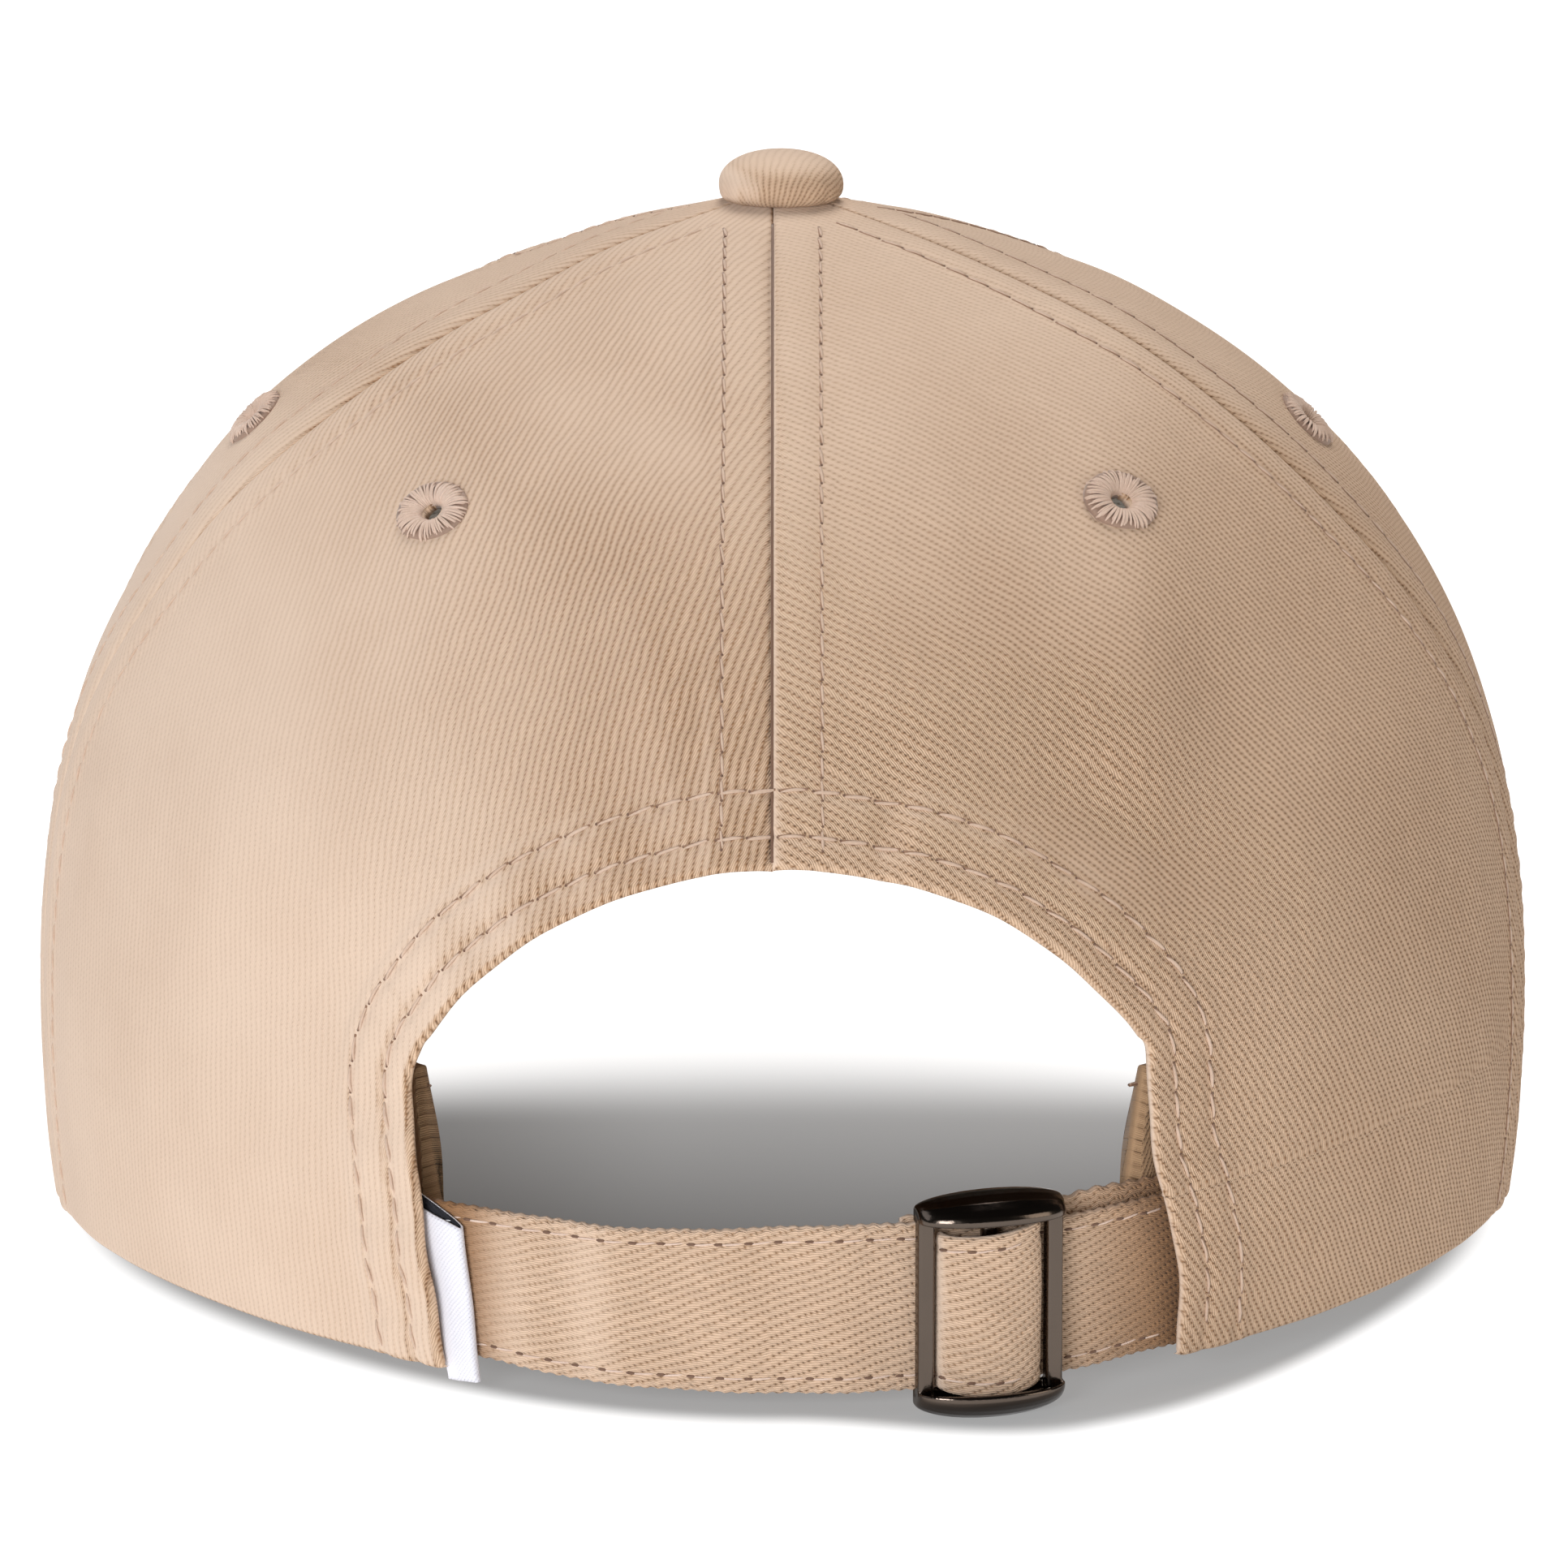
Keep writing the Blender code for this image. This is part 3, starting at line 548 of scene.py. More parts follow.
def twill(name, angle, light, dark, pitch=1.0, rows=(0.38, 0.68), groove=0.70, contrast=1.0,
          relief_mm=0.27, sheen=0.12, painted_lit_colour=None, painted_shade_spans=()):
    """Cotton twill on the `grain` map, in millimetres.

    Slanted ropes, each laid from strands that cross it at a small angle; the weft's rows, whose
    slope and spacing are `rows`, set where pits open between two ropes. `groove` is how far the
    pits join up.
    """
    material, shader = new_material(name)
    shader.inputs["Sheen Weight"].default_value = sheen
    shader.inputs["Sheen Roughness"].default_value = 0.45
    shader.inputs["Sheen Tint"].default_value = (1.0, 0.95, 0.92, 1.0)
    link, make, calc = node_maker(material.node_tree)
    grain = make("ShaderNodeUVMap", uv_map="grain")
    turned = make("ShaderNodeVectorRotate", grain, rotation_type="Z_AXIS")
    turned.node.inputs["Angle"].default_value = -math.radians(angle)
    drift = make("ShaderNodeTexNoise", grain, None, 0.06, 2.0, 0.5, noise_dimensions="2D")
    jitter = make("ShaderNodeTexNoise", grain, None, 0.5, 1.0, 0.5, noise_dimensions="2D")
    parts = make("ShaderNodeSeparateXYZ", turned).node
    along, across = parts.outputs[0], parts.outputs[1]
    across = calc("MULTIPLY_ADD", drift, 1.6, across)
    across = calc("MULTIPLY_ADD", jitter, 0.30, across)
    along = calc("MULTIPLY_ADD", jitter, 0.5, along)

    def wave(value, spacing):
        """0 in the middle of each band and 1 on the line between two."""
        return calc("MULTIPLY", calc("PINGPONG", calc("DIVIDE", value, spacing), 0.5), 2.0)

    rope = wave(across, pitch)
    row = wave(calc("MULTIPLY_ADD", across, rows[0], along), rows[1])
    strand = wave(calc("MULTIPLY_ADD", across, 2.6, along), rows[1])
    open_share = calc("MULTIPLY_ADD", calc("POWER", row, 1.6), 1.0 - groove, groove)
    valley = calc("MULTIPLY", calc("POWER", rope, 1.6), open_share)
    slit = calc("MULTIPLY", calc("POWER", rope, 4.0), calc("POWER", row, 2.5))
    fibre_place = make("ShaderNodeVectorRotate", turned, rotation_type="Z_AXIS")
    fibre_place.node.inputs["Angle"].default_value = math.radians(20)
    fibre_place = make("ShaderNodeVectorMath", fibre_place, (1.6, 9.0, 1.0), operation="MULTIPLY")
    fibre = make("ShaderNodeTexNoise", fibre_place, None, 1.0, 2.0, 0.6, noise_dimensions="2D")
    cloud = make("ShaderNodeTexNoise", grain, None, 0.035, 3.0, 0.55, noise_dimensions="2D")
    # painted light: where the cloth faces a light, its colour is painted lighter and the weave's
    # painted shade is weakened
    faces_light = painted_light_share(make, calc)
    depth = calc("MULTIPLY_ADD", faces_light, -0.80, 1.0)
    seam = calc("POWER", strand, 2.0)
    # painted shade in the weave's slits, valleys and strand borders, with the fibres' and clouds'
    # own random tone added
    shade = calc("MULTIPLY", slit, 0.50 * contrast)
    shade = calc("MULTIPLY_ADD", valley, 0.90 * contrast, shade)
    shade = calc("MULTIPLY_ADD", seam, 0.40 * contrast, shade)
    shade = calc("MULTIPLY_ADD", calc("SUBTRACT", fibre, 0.5), 0.42, shade)
    shade = calc("MULTIPLY", shade, depth)
    shade = calc("MULTIPLY_ADD", calc("SUBTRACT", cloud, 0.5), 0.30, shade, clamp=True)
    painted_lit_tone = blend_colour(make, faces_light, rgba(light), rgba(painted_lit_colour or light))
    colour = blend_colour(make, shade, painted_lit_tone, rgba(dark))
    for clear_x, deep_x in painted_shade_spans:  # painted shade where it disappears under its neighbours
        x = make("ShaderNodeSeparateXYZ", make("ShaderNodeNewGeometry"))
        colour = blend_colour(make, ramp(make, x, clear_x, deep_x), colour, rgba(dark))
    link(colour, shader.inputs["Base Color"])
    height = calc("MULTIPLY_ADD", valley, -0.85, 1.0)
    height = calc("MULTIPLY_ADD", slit, -0.45, height)
    height = calc("MULTIPLY_ADD", seam, -0.36, height)
    height = calc("MULTIPLY_ADD", fibre, 0.24, height)
    add_bump(make, link, shader, calc("MULTIPLY", height, depth), 1.0, relief_mm / 1000)
    link(calc("MULTIPLY_ADD", slit, 0.1, 0.84), shader.inputs["Roughness"])
    return material


def thread_material(name, light, dark):
    """Twisted sewing thread: fine slanted plies, in object space."""
    material, shader = new_material(name, 0.62, 0.0, 0.3)
    shader.inputs["Sheen Weight"].default_value = 0.2
    link, make, calc = node_maker(material.node_tree)
    place_at = make("ShaderNodeTexCoord", out=3)
    noise = make("ShaderNodeTexNoise", place_at, None, 2600.0, 2.0, 0.6)
    slow = make("ShaderNodeTexNoise", place_at, None, 160.0, 1.0, 0.5)
    share = calc("MULTIPLY_ADD", slow, 0.5, calc("MULTIPLY", noise, 0.6), clamp=True)
    link(blend_colour(make, share, rgba(dark), rgba(light)), shader.inputs["Base Color"])
    add_bump(make, link, shader, noise, 0.5, 0.00006)
    return material


# the twill's colour; its painted lit colour where it faces a light; its dark colour, taken by the
# weave's painted shade and by its random tone
CLOTH_LIGHT = (0.660, 0.466, 0.322)
CLOTH_PAINTED_LIT = (0.665, 0.508, 0.392)
CLOTH_DARK = (0.315, 0.165, 0.078)
RIGHT_WEAVE = {"pitch": 0.95, "rows": (-0.60, 0.70), "groove": 0.38, "contrast": 0.95}
PANEL_WEAVES = {  # the ropes' direction in degrees, and what differs from the usual weave
    "back_left": (94, {}),
    "back_right": (128, RIGHT_WEAVE),
    "side_left": (94, {}),
    "side_right": (110, RIGHT_WEAVE),
    "front_left": (63, {}),
    "front_right": (-31, {}),
}
PANEL_TWILL = {
    name: twill(f"twill_{name}", angle, CLOTH_LIGHT, CLOTH_DARK, painted_lit_colour=CLOTH_PAINTED_LIT, **weave)
    for name, (angle, weave) in PANEL_WEAVES.items()
}
thread = thread_material("thread", (0.66, 0.50, 0.39), (0.40, 0.26, 0.18))
# painted shade: the dark line beside each stitch, and the dark dots and slots in the needle holes
stitch_shade = thread_material("stitch_shade_line", (0.34, 0.20, 0.125), (0.20, 0.105, 0.060))
needle_hole_shade = thread_material("needle_hole_shade", (0.20, 0.11, 0.07), (0.10, 0.05, 0.03))

# ---------------------------------------------------------------- panels

EYELETS = {
    (where, side): sign * az
    for where, az in EYELET_AZ.items()
    for side, sign in (("left", -1), ("right", 1))
}


def eyelet_frame(az):
    level = EYELET_W
    if abs(az) == EYELET_AZ["back"]:
        turn, rise = BACK_EYELET_SHIFT[-1 if az < 0 else 1]
        az, level = az + turn, level + rise
    centre = crown(az, level)
    normal = crown_normal(az, level)
    return centre + normal * relief(centre[None])[0], normal


EYELET_FRAMES = {key: eyelet_frame(az) for key, az in EYELETS.items()}


def near_edges(count, fine=5, fine_share=0.02):
    """Shares from 0 to 1, closer together at both ends."""
    start = fine_share * (np.arange(fine) / fine) ** 1.5
    middle = np.linspace(fine_share, 1 - fine_share, count)
    return np.concatenate([start, middle, 1 - start[::-1]])


def edge_roll(d, radius):
    """Depth of a rounded edge at a distance from it."""
    inside = np.clip(radius - d, 0.0, radius)
    return radius - np.sqrt(radius**2 - inside**2)


def grain_map(az, w, mid_az, bend=0.3):
    """Flat cloth coordinates, in millimetres: across the panel and up its middle.

    Level rings become arcs that turn by `bend` of the azimuth, as a flattened dome's do.
    """
    levels = np.linspace(-1.0, 1.0, 200)
    up = arc_length(crown(np.full(200, mid_az), levels))
    v = np.interp(w, levels, up)
    p, q = crown(az, w), crown(mid_az, w)
    s = np.linalg.norm((p - q)[..., :2], axis=-1) * np.sign(az - mid_az)
    turn = np.radians(az - mid_az) * bend
    safe = np.where(np.abs(turn) < 1e-6, 1e-6, turn)
    return np.stack([s * np.sin(safe) / safe, v + s * (1 - np.cos(safe)) / safe], axis=-1) * 1000


def back_panel(sign):
    """Four-sided patch: arch, side seam, centre seam and rim."""
    side = "right" if sign > 0 else "left"
    turn = 0.75
    table_w = np.linspace(-1.0, 1.0, 240)
    table_r = arc_length(crown(np.full(240, 42.0), table_w)[::-1])[::-1]

    def flat(az, w):
        r = np.interp(w, table_w, table_r)
        a = np.radians(az * turn)
        return np.stack([r * np.sin(a), -r * np.cos(a)], axis=-1)

    def unflat(q):
        az = np.degrees(np.arctan2(q[..., 0], -q[..., 1])) / turn
        r = np.linalg.norm(q, axis=-1)
        return az, np.interp(r, table_r[::-1], table_w[::-1])

    s = near_edges(230, 6, 0.012)
    t = near_edges(190, 8, 0.016)
    arch_az, arch_w = ARCH_HALF[sign]
    face_w = np.linspace(W_TOP, 0, 80)
    seam_w = np.concatenate([np.full(12, W_TOP), face_w, np.linspace(-0.02, -1, 24)])
    top_az = sign * float(centre_seam_az(W_TOP))
    seam_az = np.concatenate([np.linspace(top_az, APEX_AZ, 12), back_seam_az(face_w),
                              np.full(24, float(back_seam_az(0.0)))])
    centre_w = np.linspace(arch_w[0], W_TOP, 60)
    rim_az = np.linspace(abs(arch_az[-1]), float(back_seam_az(0.0)), 40)
    a_side = resample(flat(sign * arch_az, arch_w), s)
    b_side = resample(flat(seam_az, seam_w), s)
    c_side = resample(flat(sign * centre_seam_az(centre_w), centre_w), t)
    d_side = resample(flat(rim_az, np.full(40, -1.0)), t)
    S, T = s[:, None, None], t[None, :, None]
    q = (
        (1 - T) * a_side[:, None] + T * b_side[:, None]
        + (1 - S) * c_side[None] + S * d_side[None]
        - (1 - S) * (1 - T) * a_side[0] - S * (1 - T) * a_side[-1]
        - (1 - S) * T * b_side[0] - S * T * b_side[-1]
    )
    az, w = unflat(q)
    az = az * sign
    mid = crown(az, w)
    normals = crown_normal(az, w)
    seams = ("centre", f"back_{side}")
    out = relief(mid, seams)
    arch_d, _ = line_distance(mid, ARCH_LINE)
    seam_d = np.minimum(*(line_distance(mid, SEAM_LINES[n])[0] for n in seams))
    rim_d = mid[..., 2]
    low = edge_roll(arch_d, HEM_R) + edge_roll(seam_d, 0.0006) + edge_roll(rim_d, 0.0007)
    hem = 1 - smooth((arch_d - ARCH_ROWS[1]) / 0.002)
    thick = PANEL_T + 0.0005 * hem
    thick = np.maximum(0.00012, thick - 2 * np.minimum(low, thick / 2.02))
    uv = grain_map(az, w, sign * 36.0, 0.5 if sign > 0 else 0.15)
    return shell_object(
        f"cloth_back_{side}", mid, normals, out - low, thick,
        PANEL_TWILL[f"back_{side}"], uv, [EYELET_FRAMES["back", side]], flip=sign < 0,
    )


def plain_panel(name, first, last, mid_az, seams):
    """A panel between two seams, in the order of their azimuths, from the rim to the apex."""
    down = 1 - near_edges(28, 5, 0.06)[:-6]
    up = np.concatenate([np.linspace(0, 0.9, 110), np.linspace(0.9, 1.0, 24)[1:]])
    w_row = np.concatenate([-down, up * W_TOP])
    w_seam = np.maximum(0.0, w_row)
    across = near_edges(84, 5, 0.03)
    a, b = SEAMS[first](w_seam), SEAMS[last](w_seam)
    if first == "front":
        a = a - 360
    az = a[:, None] + (b - a)[:, None] * across[None]
    w = np.where(w_row[:, None] < 0, rim_w(az) * -w_row[:, None], w_row[:, None])
    mid = crown(az, w)
    normals = crown_normal(az, w)
    out = relief(mid, seams, arch=False)
    seam_d = np.minimum(*(line_distance(mid, SEAM_LINES[n])[0] for n in seams))
    rim_d = mid[..., 2] - rim_rise(az)
    low = edge_roll(seam_d, 0.0006) + edge_roll(rim_d, 0.0007)
    thick = np.maximum(0.00012, PANEL_T - 2 * np.minimum(low, PANEL_T / 2.02))
    uv = grain_map(az, w, mid_az)
    return shell_object(
        f"cloth_{name}", mid, normals, out - low, thick,
        PANEL_TWILL[name], uv, [EYELET_FRAMES[tuple(name.split("_"))]],
    )


enter("crown", "twill", back_panel(-1), node="back_panel_left")
enter("crown", "twill", back_panel(1), node="back_panel_right")
for panel_args in (
    ("side_left", "front_left", "back_left", -100.0, ("back_left", "front_left")),
    ("side_right", "back_right", "front_right", 100.0, ("back_right", "front_right")),
    ("front_left", "front", "front_left", -152.0, ("front_left", "front")),
    ("front_right", "front_right", "front", 152.0, ("front_right", "front")),
):
    enter("crown", "twill", plain_panel(*panel_args), node=panel_args[0].replace("_", "_panel_"))

# ---------------------------------------------------------------- threads


class Strands:
    """Many short threads in one mesh, each a tube along a path."""

    def __init__(self, sides=6):
        self.sides, self.count = sides, 0
        self.verts, self.faces, self.kinds = [], [], []

    def add(self, path, normals, radii, kind=0):
        path = np.asarray(path, float)
        tangent = np.gradient(path, axis=0)
        tangent /= np.linalg.norm(tangent, axis=1, keepdims=True) + 1e-12
        across = np.cross(tangent, normals)
        across /= np.linalg.norm(across, axis=1, keepdims=True) + 1e-12
        up = np.cross(across, tangent)
        turn = np.linspace(0, 2 * np.pi, self.sides, endpoint=False)
        turn = turn[None, :, None]
        ring = np.cos(turn) * across[:, None] + np.sin(turn) * up[:, None]
        points = path[:, None] + ring * np.asarray(radii)[:, None, None]
        faces = loft_faces(len(path), self.sides, self.count)
        self.verts.append(points.reshape(-1, 3))
        self.count += len(path) * self.sides
        self.faces += faces
        self.kinds += [kind] * len(faces)

    def build(self, name, *materials):
        made = mesh_object(name, place(np.vstack(self.verts)), self.faces, materials[0])
        for other in materials[1:]:
            made.data.materials.append(other)
        if len(materials) > 1:
            made.data.polygons.foreach_set("material_index", np.array(self.kinds, np.int32))
        return made


def stitch(strands, line, normals, pitch, radius, rise, share, slant=0.00030,
           hole_length=0.0, faint_below=-1.0):
    """A row of lockstitches, each dipping into a needle hole. The dark dot or slot in each hole and
    the dark line under and beside the thread, where it is pulled in, are painted shade.
    """
    along = arc_length(line)
    count = int(along[-1] // pitch)
    shares = np.linspace(0, 1, 6)

    def at(values, where):
        return np.stack([np.interp(where, along, values[:, k]) for k in range(3)], axis=1)

    for i in range(count):
        start = (i + 0.5 * (1 - share)) * pitch + rng.normal() * 0.00010
        where = start + shares * pitch * share
        path, up = at(line, where), at(normals, where)
        ahead = path[-1] - path[0]
        side = np.cross(up[0], ahead / (np.linalg.norm(ahead) + 1e-12))
        lean = slant * (1 + 0.4 * rng.normal())
        lift = rise * (0.85 + 0.3 * rng.random()) * np.sin(np.pi * shares) ** 0.5 - 0.00014
        tube = path + up * lift[:, None] + side * ((shares - 0.5) * lean)[:, None]
        swell = radius * (0.60 + 0.40 * np.sin(np.pi * shares)) * (1 + 0.08 * rng.normal())
        strands.add(tube, up, swell, 0)
        hole = path[0]
        if hole[0] < 0 and hole[2] < faint_below:  # sunk in and washed out by the light
            continue
        if hole_length:
            half = ahead / np.linalg.norm(ahead) * hole_length / 2
            slot = np.array([hole + half * k for k in (-1.2, -0.6, 0.6, 1.2)]) - up[0] * 0.00012
            strands.add(slot, up[:4], np.array([0.00010, 0.00026, 0.00026, 0.00010]), 1)
            continue
        dot = np.array([hole - up[0] * 0.00014, hole + up[0] * 0.00008])
        strands.add(dot, np.array([ahead, ahead]), np.array([0.00024, 0.00016]), 1)
        shadow = path - up * 0.00010 + side * (0.00012 + (shares - 0.5) * lean * 0.5)[:, None]
        strands.add(shadow, up, np.full(6, radius * 0.95), 2)


def seam_row(name, offset, w_from=-1.0):
    """The line a topstitch follows beside a seam, and the surface's normals along it."""
    levels = np.linspace(w_from, W_TOP, 260)
    az = SEAMS[name](np.maximum(0.0, levels))
    w = np.where(levels < 0, rim_w(az) * -levels, levels)
    across = np.hypot(*np.moveaxis(crown(az, w)[..., :2], -1, 0))
    keep = across > BUTTON_CLEAR_R
    az, w, across = az[keep], w[keep], across[keep]
    az = az + np.degrees(offset / across)
    return crown(az, w), crown_normal(az, w)


def on_cloth(mid, normals, seams, arch=True, lift=0.00003):
    return mid + normals * (relief(mid, seams, arch) + lift)[:, None]


def seam_stitches():
    for name in SEAMS:
        strands = Strands(5)
        back = name in ("centre", "back_left", "back_right")
        for side in (-1, 1):
            mid, normals = seam_row(name, side * TOPSTITCH, -0.94)
            if name == "centre":
                keep = mid[:, 2] > ARCH_TOP_Z + 0.0016
                mid, normals = mid[keep], normals[keep]
            line = on_cloth(mid, normals, (name,), back)
            washed_out = 1.0 if name == "back_left" else -1.0
            stitch(strands, line, normals, 0.0031, 0.00020, 0.00018, 0.90,
                   faint_below=washed_out)
        # a dark thread along the centre seam's groove: painted shade
        if name == "centre":
            mid, normals = seam_row(name, 0.0)
            line = on_cloth(mid, normals, (name,), lift=-0.00035)[mid[:, 2] > ARCH_TOP_Z + 0.0006]
            strands.add(line, normals[-len(line):], np.full(len(line), 0.00024), 1)
        piece = strands.build(f"topstitch_{name}", thread, needle_hole_shade, stitch_shade)
        enter("crown", "embroidery", piece)


def arch_offset(distance):
    """A line at this distance from the arch's edge, on the crown's surface."""
    fine = resample(ARCH_LINE, np.linspace(0, 1, 220))
    az, w = surface_at(fine[:, 0], fine[:, 2])
    normals = crown_normal(az, w)
    ahead = np.gradient(fine, axis=0)
    ahead /= np.linalg.norm(ahead, axis=1, keepdims=True)
    for _ in range(3):
        ahead[1:-1] = (ahead[:-2] + ahead[1:-1] + ahead[2:]) / 3
    out = np.cross(normals, ahead)
    moved = fine + out * distance
    az, w = surface_at(moved[:, 0], moved[:, 2])
    keep = (w > -0.95) & (moved[:, 2] > 0.001)
    return crown(az[keep], w[keep]), crown_normal(az[keep], w[keep])


def arch_stitches():
    strands = Strands(6)
    for distance in ARCH_ROWS:
        mid, normals = arch_offset(distance)
        line = on_cloth(mid, normals, ("centre",))
        stitch(strands, line, normals, 0.0039, 0.00022, 0.00024, 0.86, faint_below=0.030)
    enter("crown", "embroidery", strands.build("topstitch_arch", thread, needle_hole_shade, stitch_shade))


seam_stitches()
arch_stitches()

# ---------------------------------------------------------------- eyelets and button


def make_eyelet(where, side):
    """A ring of satin stitches round a hole: a low cushion with threads laid over it. The cushion's
    dark colour, between the threads and down into the hole, is painted shade.
    """
    centre, normal = EYELET_FRAMES[(where, side)]
    axis = np.cross(normal, (0, 0, 1.0))
    axis /= np.linalg.norm(axis)
    other = np.cross(normal, axis)
    gen = np.random.default_rng(len(where) * 7 + len(side))

    def spot(radius, angle, height):
        flat = axis * math.cos(angle) * 1.16 + other * math.sin(angle) * 0.90
        return centre + flat * radius + normal * height

    def crest(radius):
        return 0.00068 * math.sqrt(max(0.0, 1 - ((radius - 0.0029) / 0.0021) ** 2))

    radii = (0.00132, 0.00138, 0.0016, 0.0020, 0.0026, 0.0034, 0.0041, 0.0046, 0.0047)
    heights = (-0.0012, -0.0003, 0.0002, *[crest(r) - 0.00012 for r in radii[3:-1]], -0.0004)
    ring = []
    for i in range(48):
        ring.append([spot(r, 2 * math.pi * i / 48, h) for r, h in zip(radii, heights)])
    profile = np.array(ring)
    count, across = profile.shape[:2]
    verts = profile.reshape(-1, 3)
    faces = []
    for i in range(count):
        j = (i + 1) % count
        for k in range(across):
            m = (k + 1) % across
            faces.append((i * across + k, i * across + m, j * across + m, j * across + k))
    base = mesh_object(f"eyelet_cushion_{where}_{side}", place(verts), faces, eyelet_base_shade)
    strands = Strands(5)
    total = 84
    for i in range(total):
        angle = 2 * math.pi * (i + gen.uniform(-0.3, 0.3)) / total
        twist = gen.normal(0, 0.06)
        reach = 0.00455 + gen.uniform(-0.00045, 0.00035) * (1.3 if i % 3 else 0.6)
        path, ups = [], []
        for t in np.linspace(0, 1, 8):
            radius = 0.00128 + (reach - 0.00128) * t
            height = crest(radius) + 0.00007 + 0.00006 * (i % 2)
            height -= 0.0009 * (1 - t) ** 6 + 0.0003 * t**8
            path.append(spot(radius, angle + twist * t, height))
            ups.append(normal)
        thick = 0.000155 + gen.uniform(-0.00002, 0.00003)
        swell = thick * np.array([0.7, 0.95, 1, 1, 1, 1, 0.95, 0.6])
        strands.add(path, np.array(ups), swell)
    piece = strands.build(f"eyelet_threads_{where}_{side}", eyelet_thread)
    enter("crown", "embroidery", piece, base, node=f"eyelet_{where}_{side}")


eyelet_thread = thread_material("eyelet_thread", (0.72, 0.55, 0.45), (0.42, 0.28, 0.20))
# painted shade: the cushion's dark colour
eyelet_base_shade = thread_material("eyelet_base_shade", (0.36, 0.24, 0.18), (0.20, 0.12, 0.08))
for place_key in EYELETS:
    make_eyelet(*place_key)


def make_button():
    """Cloth pulled over a dome and gathered underneath."""
    rows, columns = 34, 96
    verts, uv = [], []
    top, rim = BUTTON_TOP_Z, BUTTON_RIM_Z
    for i in range(rows):
        t = i / (rows - 1)
        for j in range(columns):
            a = 2 * math.pi * j / columns
            gather = 0.00010 * math.sin(13 * a + 1.3) + 0.00006 * math.sin(29 * a)
            if t < 0.68:
                q = t / 0.68 * math.pi / 2
                radius = BUTTON_R * math.sin(q) ** 0.92
                z = rim + 0.0021 + (top - rim - 0.0021) * math.cos(q) ** 0.9
            else:
                q = (t - 0.68) / 0.32
                radius = BUTTON_R - 0.0030 * q**2.2
                z = rim + 0.0021 - 0.0021 * math.sin(q * math.pi * 0.62)
            radius += gather * smooth((t - 0.5) / 0.3)
            verts.append((radius * math.cos(a) - 0.0002, radius * math.sin(a), z))
            spread = BUTTON_R * (t * 1.6)
            uv.append((spread * math.cos(a) * 1000, spread * math.sin(a) * 1000))
    faces = grid_faces(rows - 1, columns, columns, True, True)
    verts.append((-0.0002, 0, top))
    uv.append((0, 0))
    faces += [(len(verts) - 1, columns + j, columns + (j + 1) % columns) for j in range(columns)]
    last = (rows - 1) * columns
    verts.append((-0.0002, 0, rim + 0.0012))
    uv.append((0, 0))
    faces += [(last + (j + 1) % columns, last + j, len(verts) - 1) for j in range(columns)]
    verts, uv = np.array(verts)[columns:], np.array(uv)[columns:]
    faces = [tuple(i - columns for i in f) for f in faces]
    piece = mesh_object("cloth_button", place(verts), faces, twill_button, uv)
    enter("crown", "twill", piece, node="button_cover")


twill_button = twill("twill_button", 80, CLOTH_LIGHT, CLOTH_DARK, 0.72, (0.38, 0.5), 0.6, 0.7, 0.18,
                     painted_lit_colour=CLOTH_PAINTED_LIT)
make_button()

# ---------------------------------------------------------------- strap, buckle and label


def strap_place(angle, depth, z):
    """A point of the strap: degrees round its axis, metres inside its outer face, height."""
    a = np.radians(angle)
    r = STRAP_R - depth
    return np.stack(np.broadcast_arrays(r * np.sin(a), STRAP_AXIS_Y - r * np.cos(a), z), axis=-1)


def strap_sag(angle, share):
    """How the strap hangs: its lower edge, its upper edge, and evenly between the two."""
    low = -0.0011 * bell(angle - 2, 24) + 0.0011 * smooth((-18 - angle) / 12)
    low = low + 0.0006 * smooth((angle - 28) / 8)
    high = -0.0009 * bell(angle + 14, 13) - 0.0008 * bell(angle - 26, 9)
    return low + (high - low) * share


def strap_wave(angle, share):
    """Soft upright folds of the strap, always inwards so that the buckle slides clear."""
    window = smooth((angle + 33) / 8) * (1 - smooth((angle - 6) / 8))
    fold = 0.5 + 0.5 * np.sin(angle * 0.62 + 1.1 + 0.7 * share)
    return (0.00050 * fold + 0.0003 * (0.5 + 0.5 * np.sin(angle * 0.27 + 2.0))) * window


def band_section(height, thickness, puff, edge_row):
    """Closed section of a doubled strap as (depth, height, share up), outer face first."""
    edge = min(0.0006, thickness / 2)
    shares = near_edges(34, 6, 0.03)
    z = shares * height
    d = np.minimum(z, height - z)
    roll = edge_roll(d, edge)
    swell = puff * (smooth(d / 0.0012) - 1.5 * bell(d - edge_row, 0.00055))
    outer = np.stack([roll - swell, z, shares], axis=1)
    inner = np.stack([thickness - roll, z, shares], axis=1)
    return np.vstack([outer, inner[-2:0:-1]])


def swept_band(name, material, angles, section, place_point, flip=True):
    """Sweeps a closed section along angles; place_point(angle, depth, z, share) places it."""
    grid = np.array([place_point(angle, *section.T) for angle in angles])
    faces = loft_faces(*grid.shape[:2], 0, flip)
    along = arc_length(grid[:, 10])
    uv = np.stack(np.broadcast_arrays(along[:, None], section[None, :, 1]), axis=-1) * 1000
    return mesh_object(name, place(grid.reshape(-1, 3)), faces, material, uv.reshape(-1, 2))


STRAP_H = STRAP_Z1 - STRAP_Z0
STRAP_ROW = 0.0018
STRAP_STITCH = {"pitch": 0.0036, "radius": 0.00015, "rise": 0.00014, "share": 0.80,
                "slant": 0.0002, "hole_length": 0.0010}
